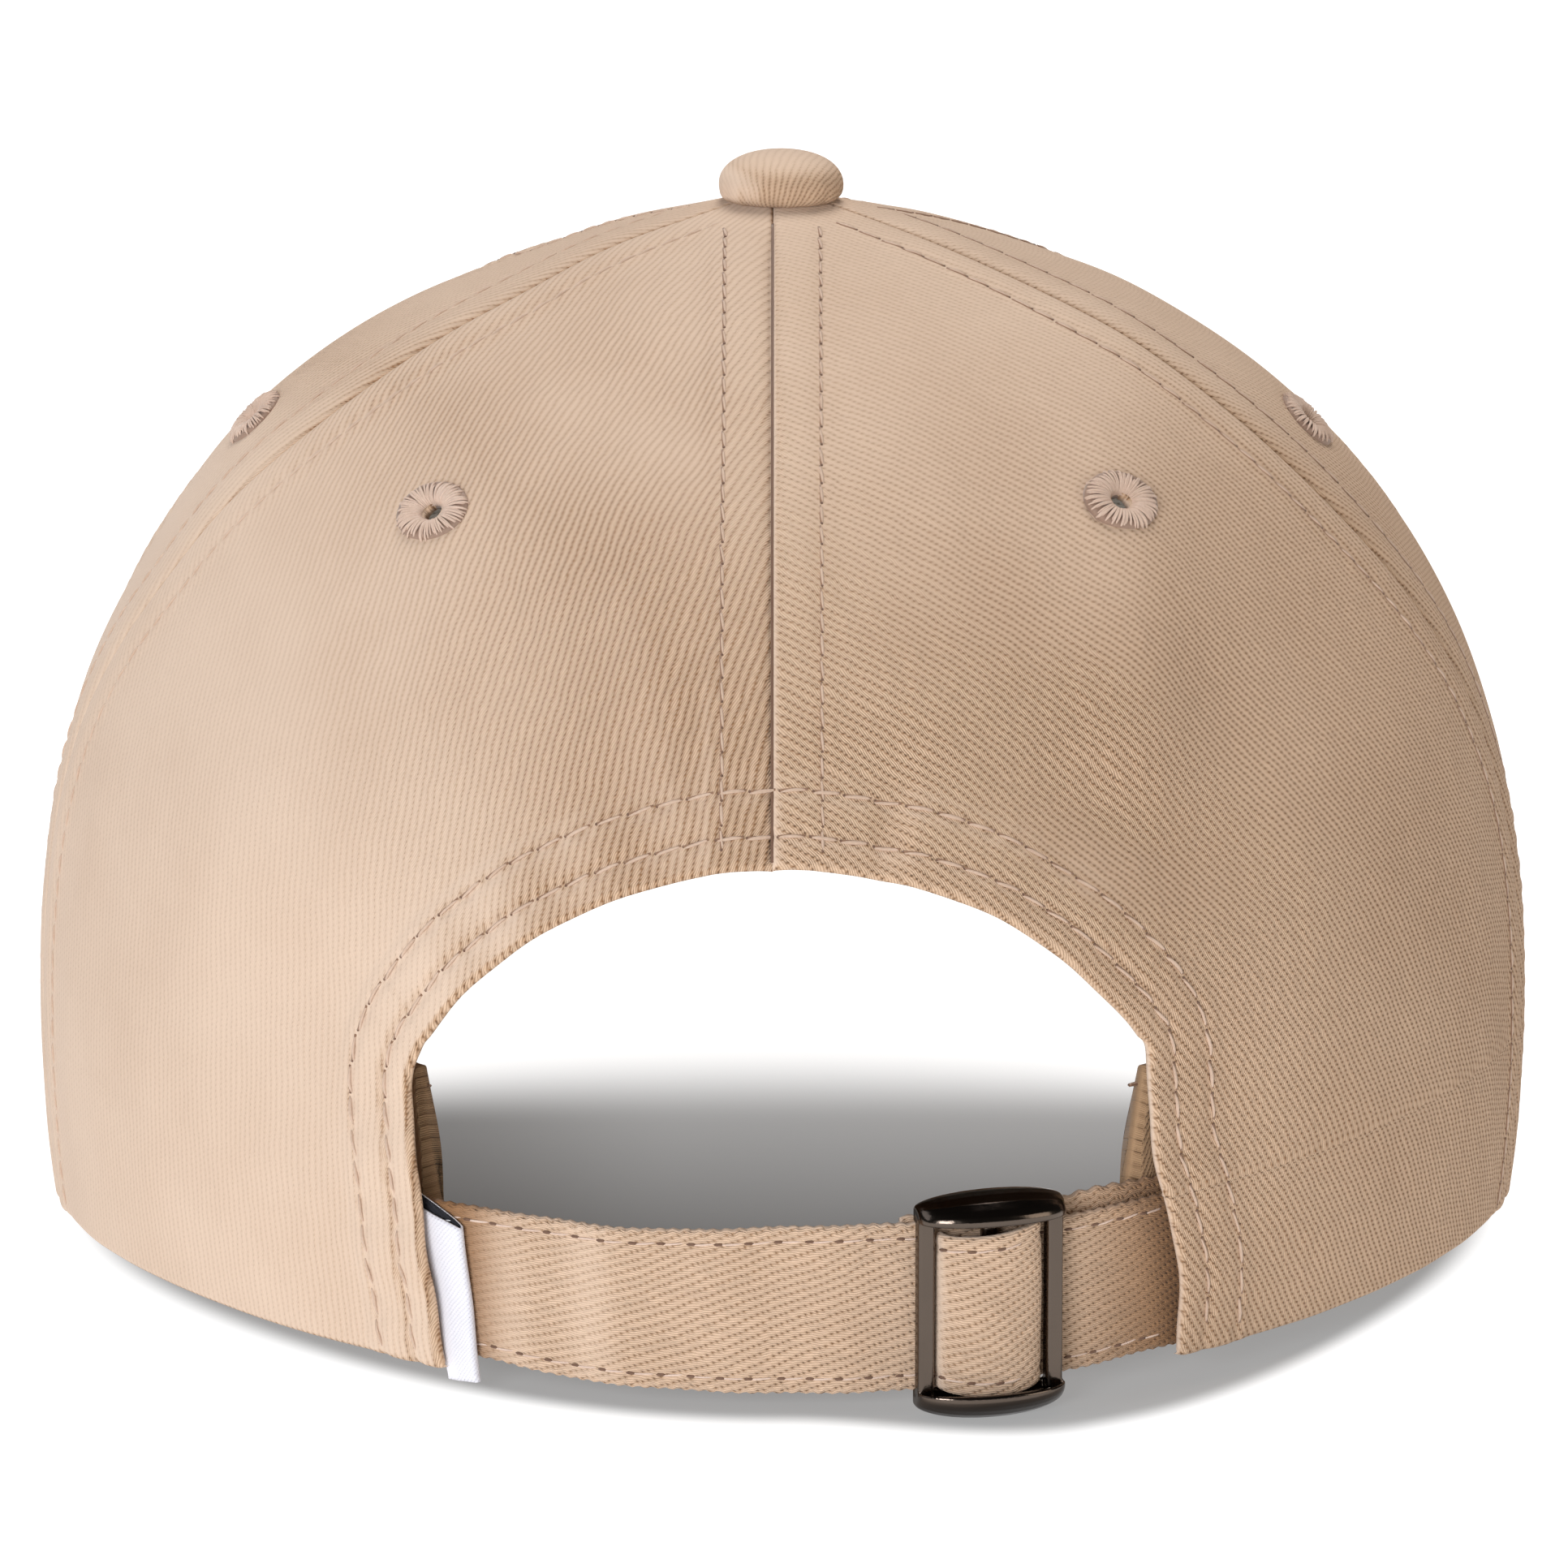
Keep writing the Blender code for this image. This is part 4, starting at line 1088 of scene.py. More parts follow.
# its two ends darken towards the label and the panel they go under: painted shade
strap_twill = twill("strap_twill", 20, (0.70, 0.50, 0.355), CLOTH_DARK, 1.04, (0.45, 0.75), 0.34,
                    0.72, painted_lit_colour=CLOTH_PAINTED_LIT, painted_shade_spans=((-0.0305, -0.0400), (0.0310, 0.0490)))
strap_thread = thread_material("strap_thread", (0.78, 0.62, 0.52), (0.48, 0.32, 0.24))


def strap_point(angle, depth, z, share):
    edge_jitter = 0.00012 * np.sin(angle * 5.1 + 9 * share) * (np.abs(share - 0.5) > 0.46)
    height = STRAP_Z0 + z + strap_sag(angle, share) + edge_jitter
    return strap_place(angle, depth + strap_wave(angle, share), height)


def make_strap():
    section = band_section(STRAP_H, STRAP_T, 0.00016, STRAP_ROW)
    angles = np.linspace(-50, 52, 300)
    piece = swept_band("cloth_strap", strap_twill, angles, section, strap_point)
    rows = Strands(5)
    visible = np.linspace(-36, 40, 500)
    for z in (STRAP_ROW, STRAP_H - STRAP_ROW):
        share = z / STRAP_H
        line = np.array([strap_point(a, 0.00003, z, share) for a in visible])
        out = np.array([strap_place(a, -1, 0) - strap_place(a, 0, 0) for a in visible])
        stitch(rows, line, out, **STRAP_STITCH)
    threads = rows.build("strap_stitches", strap_thread, needle_hole_shade, stitch_shade)
    enter("crown", "strap_twill", piece, threads, node="strap_long")


def anchor_point(angle, depth, z, _share):
    lift = 0.0013 * smooth((angle - 22) / 10) + 0.0002 * np.sin(angle * 3.3)
    height = STRAP_Z0 + 0.0002 + z + lift
    return strap_place(angle, depth + STRAP_T + 0.0003, height)


def make_anchor():
    section = band_section(STRAP_H + 0.0002, STRAP_T, 0.0, STRAP_ROW)
    piece = swept_band("cloth_anchor", strap_twill, np.linspace(11, 52, 110), section, anchor_point)
    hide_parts("strap_anchor")
    start, end = anchor_point(13.0, 0, 0.01, 0.5), anchor_point(38.0, 0, 0.01, 0.5)
    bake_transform(piece)


def buckle_place(x, out, z):
    """From the buckle's own frame (across, outwards from its back, up) to crown coordinates."""
    a = math.radians(BUCKLE_ANGLE)
    y = -(STRAP_R + 0.0004) - out
    return np.stack(
        np.broadcast_arrays(
            x * math.cos(a) - y * math.sin(a), STRAP_AXIS_Y + x * math.sin(a) + y * math.cos(a), z
        ),
        axis=-1,
    )


WRAP_HALF, WRAP_RISE = 0.0066, 0.0026


def wrap_point(turn, depth, z, share):
    """The strap's bight over the middle bar: turn runs 0 to pi from its left foot to its right."""
    lean = 0.10 * math.sin(2 * turn)
    rise = (WRAP_RISE + STRAP_T - depth) * math.sin(turn) ** 0.62
    half = WRAP_HALF - depth * abs(math.cos(turn)) ** 3
    x = -half * math.cos(turn + lean)
    droop = -0.0011 * math.sin(turn) ** 1.5 * (1 - share) - 0.0007 * math.sin(turn) * share
    tilt = 0.0005 * -math.cos(turn) * share - 0.0004
    out = rise + 0.00012 * np.sin(9 * share + 3 * turn)
    return buckle_place(x, np.maximum(0.0001, out), STRAP_Z0 + z + droop + tilt)


def make_wrap():
    section = band_section(STRAP_H, STRAP_T, 0.00014, STRAP_ROW)
    turns = np.linspace(0.02, math.pi - 0.02, 70)
    piece = swept_band("cloth_wrap", strap_twill, turns, section, wrap_point)
    rows = Strands(5)
    fine = np.linspace(0.25, math.pi - 0.2, 120)
    for z in (STRAP_ROW, STRAP_H - STRAP_ROW):
        line = np.array([wrap_point(t, 0.0, z, z / STRAP_H) for t in fine])
        ahead = np.gradient(line, axis=0)
        out = np.cross(ahead, (0, 0, 1.0))
        out /= np.linalg.norm(out, axis=1, keepdims=True)
        stitch(rows, line, out, **STRAP_STITCH)
    threads = rows.build("wrap_stitches", strap_thread, needle_hole_shade, stitch_shade)
    enter("buckle", "strap_twill", piece, threads, node="strap_wrap")


def gunmetal_material():
    material, shader = new_material("gunmetal", 0.3, 1.0, 0.5)
    link, make, calc = node_maker(material.node_tree)
    where = make("ShaderNodeTexCoord", out=3)
    fine = make("ShaderNodeTexNoise", where, None, 900.0, 3.0, 0.6)
    broad = make("ShaderNodeTexNoise", where, None, 120.0, 3.0, 0.6)
    # painted light: upright faces get a lighter, browner metal and flat tops a metal near black;
    # the broad noise is the metal's own uneven tone
    normal = make("ShaderNodeNewGeometry", out=1)
    parts = make("ShaderNodeSeparateXYZ", normal).node
    upright = calc("SUBTRACT", 1.0, calc("ABSOLUTE", parts.outputs[2]))
    share = calc("MULTIPLY_ADD", broad, 0.25, calc("MULTIPLY", upright, 0.8), clamp=True)
    link(blend_colour(make, share, (0.022, 0.018, 0.017, 1), (0.125, 0.098, 0.080, 1)),
         shader.inputs["Base Color"])
    link(calc("MULTIPLY_ADD", fine, 0.12, 0.12), shader.inputs["Roughness"])
    add_bump(make, link, shader, fine, 0.25, 0.0001)
    return material


def plate_shell(z_face, direction):
    """One domed end plate, hollow on the strap's side, as a closed loft along the buckle."""
    profile = [
        (0.0, 0.86), (0.14, 0.97), (0.34, 1.0), (0.55, 0.93), (0.74, 0.76), (0.88, 0.55),
        (0.97, 0.36), (1.0, 0.22), (0.995, 0.04), (0.97, 0.0), (0.86, 0.0), (0.83, 0.12),
        (0.66, 0.34), (0.40, 0.46), (0.16, 0.46), (0.14, 0.0), (0.0, 0.0),
    ]
    rings = []
    for u in np.sin(np.linspace(-math.pi / 2, math.pi / 2, 40)):
        bulge = math.sqrt(max(0.0, 1 - u * u))
        height = 0.0017 + 0.0019 * bulge
        depth = 0.0021 + 0.0045 * bulge
        x = u * (BUCKLE_HALF_WIDTH + 0.0001)
        rings.append([buckle_place(x, depth * d, z_face + direction * height * h)
                      for d, h in profile])
    grid = np.array(rings)
    return grid.reshape(-1, 3), loft_faces(*grid.shape[:2], 0, direction < 0)


def bar_shell(x0, x1, z0, z1, depth):
    """An upright bar with well rounded corners."""
    outline = []
    corner = 0.00055
    for cx, cy, start in ((x1, depth, 0), (x0, depth, 90), (x0, 0.0001, 180), (x1, 0.0001, 270)):
        sx = -corner if cx == x1 else corner
        sy = -corner if cy == depth else corner
        for k in range(5):
            a = math.radians(start + 22.5 * k)
            outline.append((cx + sx + corner * math.cos(a), cy + sy + corner * math.sin(a)))
    levels = np.linspace(z0, z1, 12)
    grid = np.array([[buckle_place(x, y, z) for x, y in outline] for z in levels])
    return grid.reshape(-1, 3), loft_faces(*grid.shape[:2])


def make_buckle():
    low, high = WINDOW_Z0 - 0.0009, WINDOW_Z1 + 0.0009
    edge = BUCKLE_HALF_WIDTH
    shells = [plate_shell(WINDOW_Z1, 1), plate_shell(WINDOW_Z0, -1)]
    shells += [bar_shell(-edge, -edge + 0.0021, low, high, 0.0021)]
    shells += [bar_shell(edge - 0.0021, edge, low, high, 0.0021)]
    shells += [bar_shell(-0.0010, 0.0010, low, high, 0.0018)]
    verts, faces = [], []
    for points, quads in shells:
        start = sum(len(v) for v in verts)
        verts.append(points)
        faces += [tuple(i + start for i in f) for f in quads]
    piece = mesh_object("buckle_casting", place(np.vstack(verts)), faces, gunmetal_material())
    mesh = piece.data
    bm = bmesh.new()
    bm.from_mesh(mesh)
    bmesh.ops.recalc_face_normals(bm, faces=bm.faces)
    bm.to_mesh(mesh)
    bm.free()
    step = piece.modifiers.new("one_body", "REMESH")
    step.mode = "VOXEL"
    step.voxel_size = 0.00014
    step.use_smooth_shade = True
    relax = piece.modifiers.new("soft", "SMOOTH")
    relax.factor = 0.5
    relax.iterations = 3
    apply_modifiers(piece)
    enter("buckle", "gunmetal", piece, node="buckle")


def apply_modifiers(piece):
    graph = bpy.context.evaluated_depsgraph_get()
    mesh = bpy.data.meshes.new_from_object(piece.evaluated_get(graph))
    piece.modifiers.clear()
    piece.data = mesh
    mesh.shade_smooth()


def label_material(name, light, dark, contrast):
    return twill(name, 42, light, dark, 0.42, (0.4, 0.36), 0.5, contrast, 0.06, 0.1)


def label_place(x, out, z):
    """On the label: x from its sewn edge, which leans left, out from the strap, and height."""
    share = (z - LABEL_Z0) / (LABEL_Z1 - LABEL_Z0)
    x = x * (0.72 + 0.28 * share) - 0.0006 - 0.0043 * share + 0.0004 * share * (1 - share)
    return label_plane(x, out, z)


def label_plane(x, out, z):
    a = math.radians(LABEL_ANGLE)
    y = -(STRAP_R + 0.0004) - out
    return np.array(
        (x * math.cos(a) - y * math.sin(a), STRAP_AXIS_Y + x * math.sin(a) + y * math.cos(a), z)
    )


def make_label():
    """A folded loop of damask ribbon: white outside, dark inside, open at its sewn edge."""
    ply = 0.00030
    width = LABEL_W - 0.0002
    gap = LABEL_T - ply
    path = [(0.0, gap + 0.0002), (0.35, gap + 0.0003), (0.7, gap + 0.0001)]
    path = [(x * width, y) for x, y in path]
    path += [(width - 0.0004 + 0.0004 * math.sin(a), gap / 2 + gap / 2 * math.cos(a))
             for a in np.linspace(0.15, math.pi - 0.15, 7)]
    path += [(0.6 * width, 0.00005), (0.25 * width, 0.00010), (0.0, 0.0002)]
    path = resample(np.array(path), np.linspace(0, 1, 48))
    ahead = np.gradient(path, axis=0)
    ahead /= np.linalg.norm(ahead, axis=1, keepdims=True)
    inwards = np.stack([ahead[:, 1], -ahead[:, 0]], axis=1)
    heights = np.linspace(LABEL_Z0 - 0.0006, LABEL_Z1 - 0.0015, 40)
    along = arc_length(np.column_stack([path, np.zeros(len(path))]))
    outer, inner, uv = [], [], []
    for level in heights:
        up_share = (level - heights[0]) / (heights[-1] - heights[0])
        for i, (x, y) in enumerate(path):
            bow = 0.00012 * math.sin(3.0 * up_share * math.pi)
            back = smooth((i / len(path) - 0.45) / 0.2)  # the back ply stands above the front one
            slope = (0.0004 - 0.0021 * x / width) * up_share
            z = level + slope + 0.0014 * back * up_share**3 * (1 - 0.85 * x / width)
            outer.append(label_place(x, y + bow, z))
            inner.append(label_place(x + inwards[i, 0] * ply, y + inwards[i, 1] * ply + bow, z))
            uv.append((along[i] * 1000, z * 1000))
    n, m = len(heights), len(path)
    faces = grid_faces(n, m, 0, True) + grid_faces(n, m, n * m, False)
    faces += [f[::-1] for f in border_faces(n, m, n * m)]
    kinds = [0] * ((n - 1) * (m - 1)) + [1] * ((n - 1) * (m - 1))
    kinds += [0] * (len(faces) - len(kinds))
    piece = mesh_object(
        "ribbon_label", place(np.array(outer + inner)), faces, label_white, np.array(uv * 2)
    )
    piece.data.materials.append(label_black)
    piece.data.polygons.foreach_set("material_index", np.array(kinds, np.int32))
    rows = Strands(5)
    for z_in, x0, x1, out in ((0.0009, 0.0006, 0.0046, 0.0006), (0.0019, 0.0004, 0.0044, 0.0006)):
        level = LABEL_Z1 - 0.0016 - z_in
        line = np.array([label_place(x, out, level) for x in np.linspace(x0, x1, 30)])
        up = np.tile(label_place(0, 1, 0) - label_place(0, 0, 0), (30, 1))
        stitch(rows, line, up, 0.0011, 0.00009, 0.0001, 0.7, 0.0)
    # the dots in the needle holes and the lines beside the stitches are painted shade, in the black
    # ribbon's material
    threads = rows.build("label_stitches", label_thread, label_black, label_black)
    for made in (piece, threads):
        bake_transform(made)
    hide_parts("woven_label")


label_white = label_material("label_white", (0.80, 0.79, 0.84), (0.50, 0.49, 0.56), 0.55)
label_black = label_material("label_black", (0.030, 0.030, 0.036), (0.008, 0.008, 0.010), 0.8)
label_thread = thread_material("label_thread", (0.85, 0.85, 0.88), (0.6, 0.6, 0.62))
make_strap()
make_anchor()
make_wrap()
make_buckle()
make_label()

# ---------------------------------------------------------------- inside: band, tapes, backing


def band_place(az, depth, z):
    az, depth, z = np.broadcast_arrays(az, depth, z)
    w = w_at_height(az, z)
    n = crown_normal(az, w)
    flat = n * (1, 1, 0)
    flat /= np.linalg.norm(flat, axis=-1, keepdims=True)
    p = crown(az, w) - flat * depth[..., None]
    return np.stack([p[..., 0], p[..., 1], z], axis=-1)


def band_depth(az):
    share = smooth((np.abs(az) - 48.0) / 24.0)
    return BAND_DEPTH_POCKET + (BAND_DEPTH_SIDE - BAND_DEPTH_POCKET) * share


BAND_FOLD_AZ = BAND_END_AZ + 1.4


def band_point(az, depth, z, share):
    near_end = 1 - smooth((abs(az) - BAND_FOLD_AZ) / 5.0)
    puff = 0.0011 * near_end * np.sin(np.pi * np.clip(share, 0.02, 0.98)) ** 0.5
    tip = near_end * (1.3 - 3.0 * share + 0.25 * np.sin(11 * share))
    depth = band_depth(az) + np.where(depth > BAND_T / 2, depth + puff, depth - puff)
    depth = depth + 0.0002 * np.sin(az * 1.7) * np.sin(3 * share)
    lift = float(rim_rise(az)) + BAND_LIFT
    return band_place(az - math.copysign(1.0, az) * tip, depth, lift + z * (1 - 0.02 * near_end))


def make_sweatband():
    """A folded cotton band, puffed at its two ends beside the opening."""
    section = band_section(BAND_H, BAND_T, 0.0002, 0.0022)
    turns = np.concatenate([np.linspace(BAND_FOLD_AZ, 42, 40)[:-1], np.linspace(42, 318, 230)[:-1],
                            np.linspace(318, 360 - BAND_FOLD_AZ, 40)])
    azimuths = np.where(turns > 180, turns - 360, turns)
    piece = swept_band("cloth_sweatband", band_twill, azimuths, section, band_point, flip=False)
    rows = Strands(4)
    for height in (0.0025, BAND_H - 0.0030):
        az = np.linspace(BAND_END_AZ + 2, 358 - BAND_END_AZ, 700)
        az = np.where(az > 180, az - 360, az)
        z = rim_rise(az) + BAND_LIFT + height
        line = band_place(az, band_depth(az) + BAND_T + 0.00025, z)
        inward = band_place(az, band_depth(az) + 0.01, z) - band_place(az, band_depth(az), z)
        inward /= np.linalg.norm(inward, axis=1, keepdims=True)
        stitch(rows, line, inward, 0.0032, 0.00018, 0.0002, 0.8)
    threads = rows.build("sweatband_stitches", thread, needle_hole_shade, stitch_shade)
    enter("crown", "sweatband", piece, threads, node="sweatband")


def lining(name, az, w, depth, thickness, material, node, slot, mid_az):
    """A thin sheet on a grid of azimuths and height shares, inside the panels."""
    mid, normals = crown(az, w), crown_normal(az, w)
    out = -depth + 0.00006 * ripple(mid, 0.006, 9)
    piece = shell_object(name, mid, normals, out, np.full(out.shape, thickness), material,
                         grain_map(az, w, mid_az))
    enter("crown", slot, piece, node=node)


def make_linings():
    levels = np.concatenate([-np.linspace(1, 0, 14)[:-1], np.linspace(0, W_TOP, 90)])
    for side, sign in (("left", -1), ("right", 1)):
        low, high = levels[:-8], np.linspace(0.004, 0.996, 40)
        a, b = front_seam_az(np.maximum(0, low)), 180.0 + 0 * low
        edge = np.degrees(0.0009 / np.hypot(*crown(150.0, low)[:, :2].T))
        az = sign * ((a + edge)[:, None] + (b - a - 2 * edge)[:, None] * high)
        w = np.where(low[:, None] < 0, rim_w(az) * -low[:, None], low[:, None])
        lining(f"backing_{side}", az, w, 0.0016, 0.0008, buckram, f"buckram_{side}", "buckram",
               sign * 150)
    tapes = {
        "tape_front": ("front", 0.0034), "tape_front_left": ("front_left", 0.0034),
        "tape_front_right": ("front_right", 0.0034), "tape_side_left": ("back_left", 0.0023),
        "tape_side_right": ("back_right", 0.0023), "tape_back": ("centre", 0.0023),
    }
    for node, (seam, depth) in tapes.items():
        low = levels
        if seam == "centre":
            low = low[low > float(w_at_height(0.0, ARCH_TOP_Z + 0.012))]
        az_seam = SEAMS[seam](np.maximum(0, low))
        radius = np.hypot(*crown(az_seam, np.maximum(0, low))[:, :2].T)
        keep = radius > 0.0095
        low, az_seam, radius = low[keep], az_seam[keep], radius[keep]
        half = np.degrees(np.minimum(0.006, 0.44 * radius) / radius)
        az = az_seam[:, None] + half[:, None] * np.linspace(-1, 1, 13)
        w = np.where(low[:, None] < 0, rim_w(az) * -low[:, None], low[:, None])
        lining(f"cloth_{node}", az, w, depth, 0.0006, tape_cloth, node, "tape", float(az_seam[0]))
        rows = Strands(4)
        for side in (2, 10):
            normals = crown_normal(az[:, side], w[:, side])
            line = crown(az[:, side], w[:, side]) - normals * (depth + 0.0006)
            stitch(rows, line, -normals, 0.0031, 0.00017, 0.00018, 0.84)
        enter("crown", "tape", rows.build(f"stitches_{node}", thread, needle_hole_shade, stitch_shade))
    spread = math.asin(ARCH_CORNER_X / ARCH_R)
    turns = np.linspace(-spread, spread, 90)
    radius = ARCH_R + np.linspace(0.0030, 0.0108, 9)[:, None]
    az, w = surface_at(radius * np.sin(turns), ARCH_TOP_Z - ARCH_R + radius * np.cos(turns))
    lining("cloth_facing", az, w, 0.0022, 0.0006, tape_cloth, "arch_facing", "tape", 0.0)


band_twill = twill("band_twill", 62, (0.46, 0.290, 0.165), (0.16, 0.085, 0.04),
                   0.7, (0.4, 0.5), 0.5, 0.6, 0.14)
tape_cloth = twill("tape_cloth", 45, (0.60, 0.43, 0.31), (0.30, 0.18, 0.11),
                   0.7, (0.4, 0.5), 0.4, 0.8, 0.15)
buckram = twill("buckram_gauze", 0, (0.84, 0.82, 0.76), (0.42, 0.38, 0.32),
                1.0, (0.0, 1.0), 0.3, 1.2, 0.25)
make_sweatband()
make_linings()

# ---------------------------------------------------------------- brim


def brim_outline(s):
    a = np.abs(s)
    t = a / 0.72 * np.pi / 2
    u = (a - 0.72) / 0.28 * np.pi / 2
    front = a < 0.72
    side_x = BRIM_ROOT_X + (BRIM_HALF_WIDTH - BRIM_ROOT_X) * np.cos(u)
    x = np.where(front, BRIM_HALF_WIDTH * np.sin(t), side_x)
    y = np.where(
        front,
        BRIM_SIDE_Y + (BRIM_FRONT_Y - BRIM_SIDE_Y) * np.maximum(0.0, np.cos(t)) ** 0.95,
        BRIM_SIDE_Y - (BRIM_SIDE_Y - BRIM_ROOT_Y) * np.sin(u),
    )
    z = BRIM_RISE + 0.0003 - (BRIM_BEND_R - np.sqrt(BRIM_BEND_R**2 - x * x))
    return np.stack([np.copysign(x, s), y, z], axis=-1)


def brim_root(s):
    az = 180.0 - np.abs(s) * BRIM_ROOT_AZ
    at, n = crown(az, rim_w(az)), crown_normal(az, rim_w(az))
    flat = n * (1, 1, 0)
    flat = flat / np.linalg.norm(flat, axis=-1, keepdims=True) * 0.0006
    x = np.copysign(at[..., 0] + flat[..., 0], s)
    return np.stack([x, at[..., 1] + flat[..., 1], at[..., 2] + 0.0003], axis=-1)


def brim_surface(s, t):
    return brim_root(s) * (1 - t[..., None]) + brim_outline(s) * t[..., None]


def brim_normal(s, t):
    s_in = np.clip(s, -0.94, 0.94)
    across = brim_surface(s_in + 0.01, t) - brim_surface(s_in - 0.01, t)
    along = brim_surface(s, np.minimum(1.0, t + 0.01)) - brim_surface(s, np.maximum(0.0, t - 0.01))
    n = np.cross(across, along)
    n /= np.linalg.norm(n, axis=-1, keepdims=True)
    return np.where(n[..., 2:] < 0, -n, n)


BRIM_ROWS, BRIM_FIRST_ROW, BRIM_ROW_GAP = 8, 0.0035, 0.0066  # stitching, from the outer edge
BRIM_END = 0.955  # how far round the outline the covers reach
BRIM_T = COVER_T * 2 + BOARD_T + PLY_GAP * 2


def brim_width(s):
    return np.linalg.norm(brim_outline(s) - brim_root(s), axis=-1)


def pinch(from_root):
    """The plies' share of their thickness: they are sewn flat into the crown's rim."""
    return 0.48 + 0.52 * smooth(from_root / 0.016)


def make_brim():
    s = np.linspace(-BRIM_END, BRIM_END, 200)
    t = near_edges(90, 6, 0.015)
    S, T = np.meshgrid(s, t, indexing="ij")
    T_under = T
    T = T * 1.035 - 0.035  # the top cover's seam allowance goes in under the crown's rim
    mid, normals = brim_surface(S, T), brim_normal(S, np.maximum(T, 0.0))
    width = brim_width(S)
    from_edge = (1 - T) * width
    end = np.minimum(S + BRIM_END, BRIM_END - S) * 0.09
    low = edge_roll(np.minimum(from_edge, np.maximum(end, 0)), 0.0009)
    dips = sum(bell(from_edge - BRIM_FIRST_ROW - k * BRIM_ROW_GAP, 0.0010)
               for k in range(BRIM_ROWS))
    uv = mid[..., :2] * 1000
    top = 0.00012 * ripple(mid, 0.03, 5) - 0.00022 * dips - low
    cover = np.maximum(0.0003, COVER_T * (0.5 + 0.5 * pinch(T * width)) - low * 0.5)
    piece = shell_object("cloth_brim_top", mid, normals, top, cover, brim_twill, uv)
    enter("crown", "twill", piece, node="brim_top_cover")
    mid, normals = brim_surface(S, T_under), brim_normal(S, T_under)
    bottom = -(BRIM_T - COVER_T) * pinch(T_under * width) + low * 0.5
    under = shell_object("cloth_brim_under", mid, normals, bottom,
                         np.maximum(0.0003, cover - 0.00018 * dips), brim_twill_under, uv)
    s_in, t_in = np.linspace(-0.93, 0.93, 90), np.linspace(0.02, 1.0, 40)
    S_in, T_in = np.meshgrid(s_in, t_in, indexing="ij")
    T_in = T_in * (1 - 0.0030 / brim_width(S_in))
    flat, up = brim_surface(S_in, T_in), brim_normal(S_in, T_in)
    squeeze = pinch(T_in * brim_width(S_in))
    board = shell_object("stiffener_board", flat, up, -(COVER_T + PLY_GAP) * squeeze,
                         BOARD_T * squeeze, board_finish, flat[..., :2] * 1000)
    enter("crown", "board", board, node="brim_board")
    enter("crown", "twill", under, node="brim_under_cover")
    for side, depth, sign in (("top", 0.0, 1), ("under", BRIM_T, -1)):
        rows = Strands(4)
        for k in range(BRIM_ROWS):
            along = np.linspace(-0.93, 0.93, 500)
            share = 1 - (BRIM_FIRST_ROW + k * BRIM_ROW_GAP) / brim_width(along)
            keep = share > 0.03
            along, share = along[keep], share[keep]
            parts = np.split(np.arange(len(along)), np.where(np.diff(along) > 0.01)[0] + 1)
            for part in parts:
                if len(part) < 8:
                    continue
                line = brim_surface(along[part], share[part])
                up = brim_normal(along[part], share[part])
                line = line - up * (depth * 0.985 + sign * 0.00012)
                stitch(rows, line, up * sign, 0.0034, 0.00020, 0.0002, 0.84)
        threads = rows.build(f"brim_stitches_{side}", thread, needle_hole_shade, stitch_shade)
        enter("crown", "embroidery", threads)


def edge_binding():
    """The covers' turned edge, closing the brim round its outer rim."""
    s = np.linspace(-0.957, 0.957, 260)
    edge = brim_surface(s, np.full(s.shape, 1.0))
    n = brim_normal(s, np.full(s.shape, 0.99))
    ahead = np.gradient(edge, axis=0)
    ahead /= np.linalg.norm(ahead, axis=1, keepdims=True)
    out = np.cross(ahead, n)
    out *= np.sign((out * (edge - np.array([0, 0.08, 0]))).sum(1))[:, None]
    half = BRIM_T / 2
    rings = []
    turn = np.linspace(0, 2 * np.pi, 16, endpoint=False)
    for i in range(len(s)):
        centre = edge[i] - n[i] * half - out[i] * 0.0010
        rings.append([centre + n[i] * math.sin(a) * (half - 0.0001) + out[i] * math.cos(a) * 0.0014
                      for a in turn])
    grid = np.array(rings)
    faces = loft_faces(*grid.shape[:2])
    along = arc_length(edge)
    uv = np.stack(np.broadcast_arrays(along[:, None], turn[None] * 0.0014), axis=-1) * 1000
    points = place(grid.reshape(-1, 3))
    piece = mesh_object("cloth_brim_edge", points, faces, brim_twill, uv.reshape(-1, 2))
    enter("crown", "twill", piece)


def speckled(name, colour, roughness, metallic):
    material, shader = new_material(name, roughness, metallic)
    link, make, _ = node_maker(material.node_tree)
    speck = make("ShaderNodeTexNoise", make("ShaderNodeTexCoord", out=3), None, 400.0, 3.0, 0.6)
    darker = tuple(c * 0.8 for c in colour)
    link(blend_colour(make, speck, rgba(darker), rgba(colour)), shader.inputs["Base Color"])
    return material


board_finish = speckled("board_finish", (0.80, 0.79, 0.74), 0.6, 0.0)
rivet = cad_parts["button_rivet"]
rivet.data.materials.clear()
rivet.data.materials.append(speckled("rivet_finish", (0.30, 0.28, 0.25), 0.35, 1.0))
brim_twill = twill("brim_twill", 45, CLOTH_LIGHT, CLOTH_DARK)
brim_twill_under = twill("brim_twill_under", -45, CLOTH_LIGHT, CLOTH_DARK)
make_brim()
edge_binding()

# ---------------------------------------------------------------- floor, light, camera


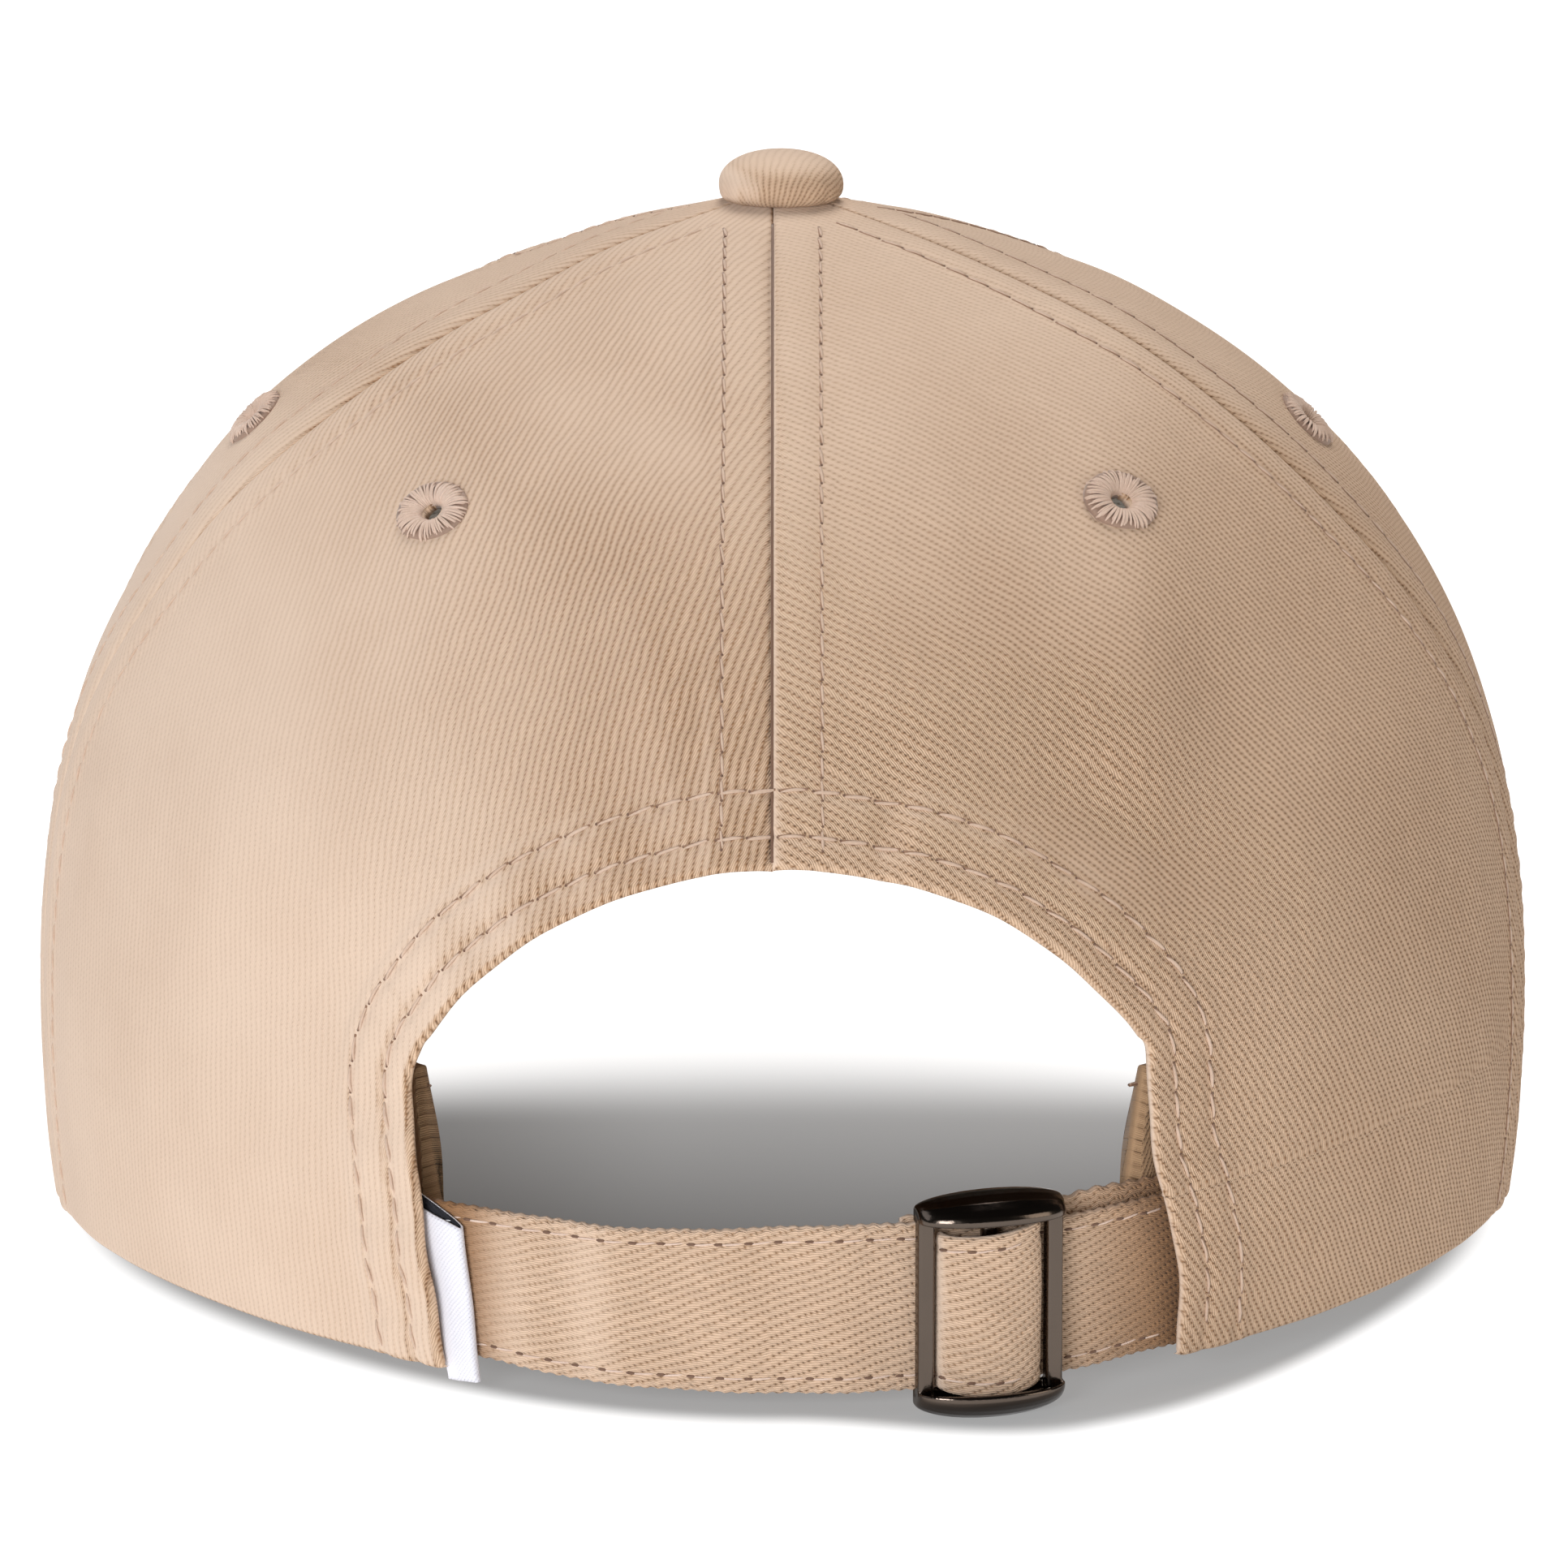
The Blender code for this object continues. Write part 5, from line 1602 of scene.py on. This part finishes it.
def make_floor():
    """White paper, glowing faintly, with one painted soft shadow in its glow that follows the
    crown's outline.

    The painted shadow leaves out the brim: behind the crown the paper is plain white, as on a
    cut-out product picture.
    """
    material, shader = new_material("floor", 0.9, 0.0, 0.0)
    link, make, calc = node_maker(material.node_tree)
    parts = make("ShaderNodeSeparateXYZ", make("ShaderNodeNewGeometry")).node
    x, y = parts.outputs[0], calc("ADD", parts.outputs[1], -CROWN_WIDEST_Y - SHIFT[1])
    front = calc("GREATER_THAN", y, 0.0)
    depth = calc("MULTIPLY_ADD", front, CROWN_FRONT_DEPTH - CROWN_BACK_DEPTH, CROWN_BACK_DEPTH)
    across, along = calc("DIVIDE", x, CROWN_HALF_WIDTH), calc("DIVIDE", y, depth)
    square = calc("ADD", calc("MULTIPLY", across, across), calc("MULTIPLY", along, along))
    corner = calc("DIVIDE", calc("MULTIPLY", across, along), calc("MAXIMUM", square, 0.01))
    corner = calc("MULTIPLY", calc("MULTIPLY", corner, corner), 4 * CROWN_CORNER_FLATTEN)
    reach = calc("DIVIDE", calc("SQRT", square), calc("SUBTRACT", 1.0, corner))
    bulge, fall = ramp(make, x, 0.0, 0.036), ramp(make, x, 0.042, 0.095, 1.0, 0.0)
    edge = calc("MULTIPLY_ADD", calc("MULTIPLY", bulge, fall), 0.12, 0.975)
    outer = ramp(make, reach, calc("SUBTRACT", edge, 0.07), edge)
    front_end = calc("MULTIPLY_ADD", calc("MULTIPLY", x, x), -5.0, 0.087)
    inner = ramp(make, y, 0.038, front_end)
    # share of the paper outside the painted shadow
    light = calc("MAXIMUM", outer, inner)
    rim = make("ShaderNodeMapRange", reach, 0.6, 0.88, 0.0, 1.0)
    rim = calc("MULTIPLY", rim, calc("SUBTRACT", 1.0, front))
    left = ramp(make, x, -0.012, -0.050, 1.0, 0.62)
    under = calc("MULTIPLY", make("ShaderNodeMapRange", y, -0.015, 0.040, 0.15, 0.31), left)
    painted_shadow_tone = calc("MULTIPLY_ADD", rim, calc("SUBTRACT", 0.30, under), under)
    # the paper's glow: white, dimmed to the painted shadow's tone under the crown
    glow = calc("MULTIPLY_ADD", light, calc("SUBTRACT", 1.02, painted_shadow_tone), painted_shadow_tone)
    noise = make("ShaderNodeTexNoise", None, None, 3.0, 2.0, 0.5)
    grey = blend_colour(make, noise, (0.24, 0.24, 0.24, 1), (0.26, 0.26, 0.26, 1))
    link(grey, shader.inputs["Base Color"])
    shader.inputs["Emission Color"].default_value = (1, 1, 1, 1)
    link(glow, shader.inputs["Emission Strength"])
    size = 6.0
    verts = [(-size, -size, 0), (size, -size, 0), (size, size, 0), (-size, size, 0)]
    floor = mesh_object("floor", verts, [(0, 1, 2, 3)], material, None, False)


def area_light(name, azimuth, elevation, distance, size, power, colour):
    """A soft box aimed at the crown: degrees from the camera's side (+ to the right) and up."""
    data = bpy.data.lights.new(name, "AREA")
    data.shape = "RECTANGLE"
    data.size, data.size_y = size
    data.energy = power
    data.color = colour
    lamp = bpy.data.objects.new(name, data)
    bpy.context.scene.collection.objects.link(lamp)
    a, e = math.radians(azimuth), math.radians(elevation)
    aim = Vector((0, SHIFT[1], 0.06))
    way = Vector((math.sin(a) * math.cos(e), -math.cos(a) * math.cos(e), math.sin(e)))
    lamp.location = aim + way * distance
    lamp.rotation_euler = way.to_track_quat("Z", "Y").to_euler()


LIGHTS = (  # name, azimuth, elevation, distance, size, power, colour
    ("key", -74, 28, 1.3, (0.7, 0.6), 2.0, (0.90, 0.94, 1.0)),
    ("near", -20, 12, 1.6, (0.6, 0.6), 18.8, (0.95, 0.97, 1.0)),
    ("fill", 70, 14, 1.7, (0.8, 0.8), 5.4, (1.0, 0.92, 0.81)),
    ("over", 170, 70, 1.5, (0.8, 0.8), 18.5, (1.0, 0.97, 0.94)),
)


def make_studio():
    make_floor()
    for light in LIGHTS:
        area_light(*light)
    world = bpy.data.worlds.new("studio")
    world.use_nodes = True
    background = world.node_tree.nodes["Background"]
    background.inputs["Color"].default_value = (1, 1, 1, 1)
    background.inputs["Strength"].default_value = 0.05
    bpy.context.scene.world = world
    bpy.context.scene.view_settings.view_transform = "Standard"


CAMERA_DISTANCE, CAMERA_ELEVATION = 1.25, 12.3
CAMERA_LENS, CAMERA_SENSOR = 225.93, 36.0  # millimetres


def make_camera():
    """Behind the cap and a little above it, aimed a little below the crown's middle."""
    elevation = math.radians(CAMERA_ELEVATION)
    back = Vector((0, -math.cos(elevation), math.sin(elevation)))
    up = Vector((0, math.sin(elevation), math.cos(elevation)))
    target = Vector((0.0, SHIFT[1], SHIFT[2] + 0.062))
    data = bpy.data.cameras.new("camera")
    data.lens, data.sensor_width = CAMERA_LENS, CAMERA_SENSOR
    camera = bpy.data.objects.new("camera", data)
    bpy.context.scene.collection.objects.link(camera)
    aim = target - up * 0.00704 + Vector((0.0002, 0, 0))
    camera.location = aim + back * CAMERA_DISTANCE
    camera.rotation_euler = (-back).to_track_quat("-Z", "Y").to_euler()
    bpy.context.scene.camera = camera


make_studio()
make_camera()
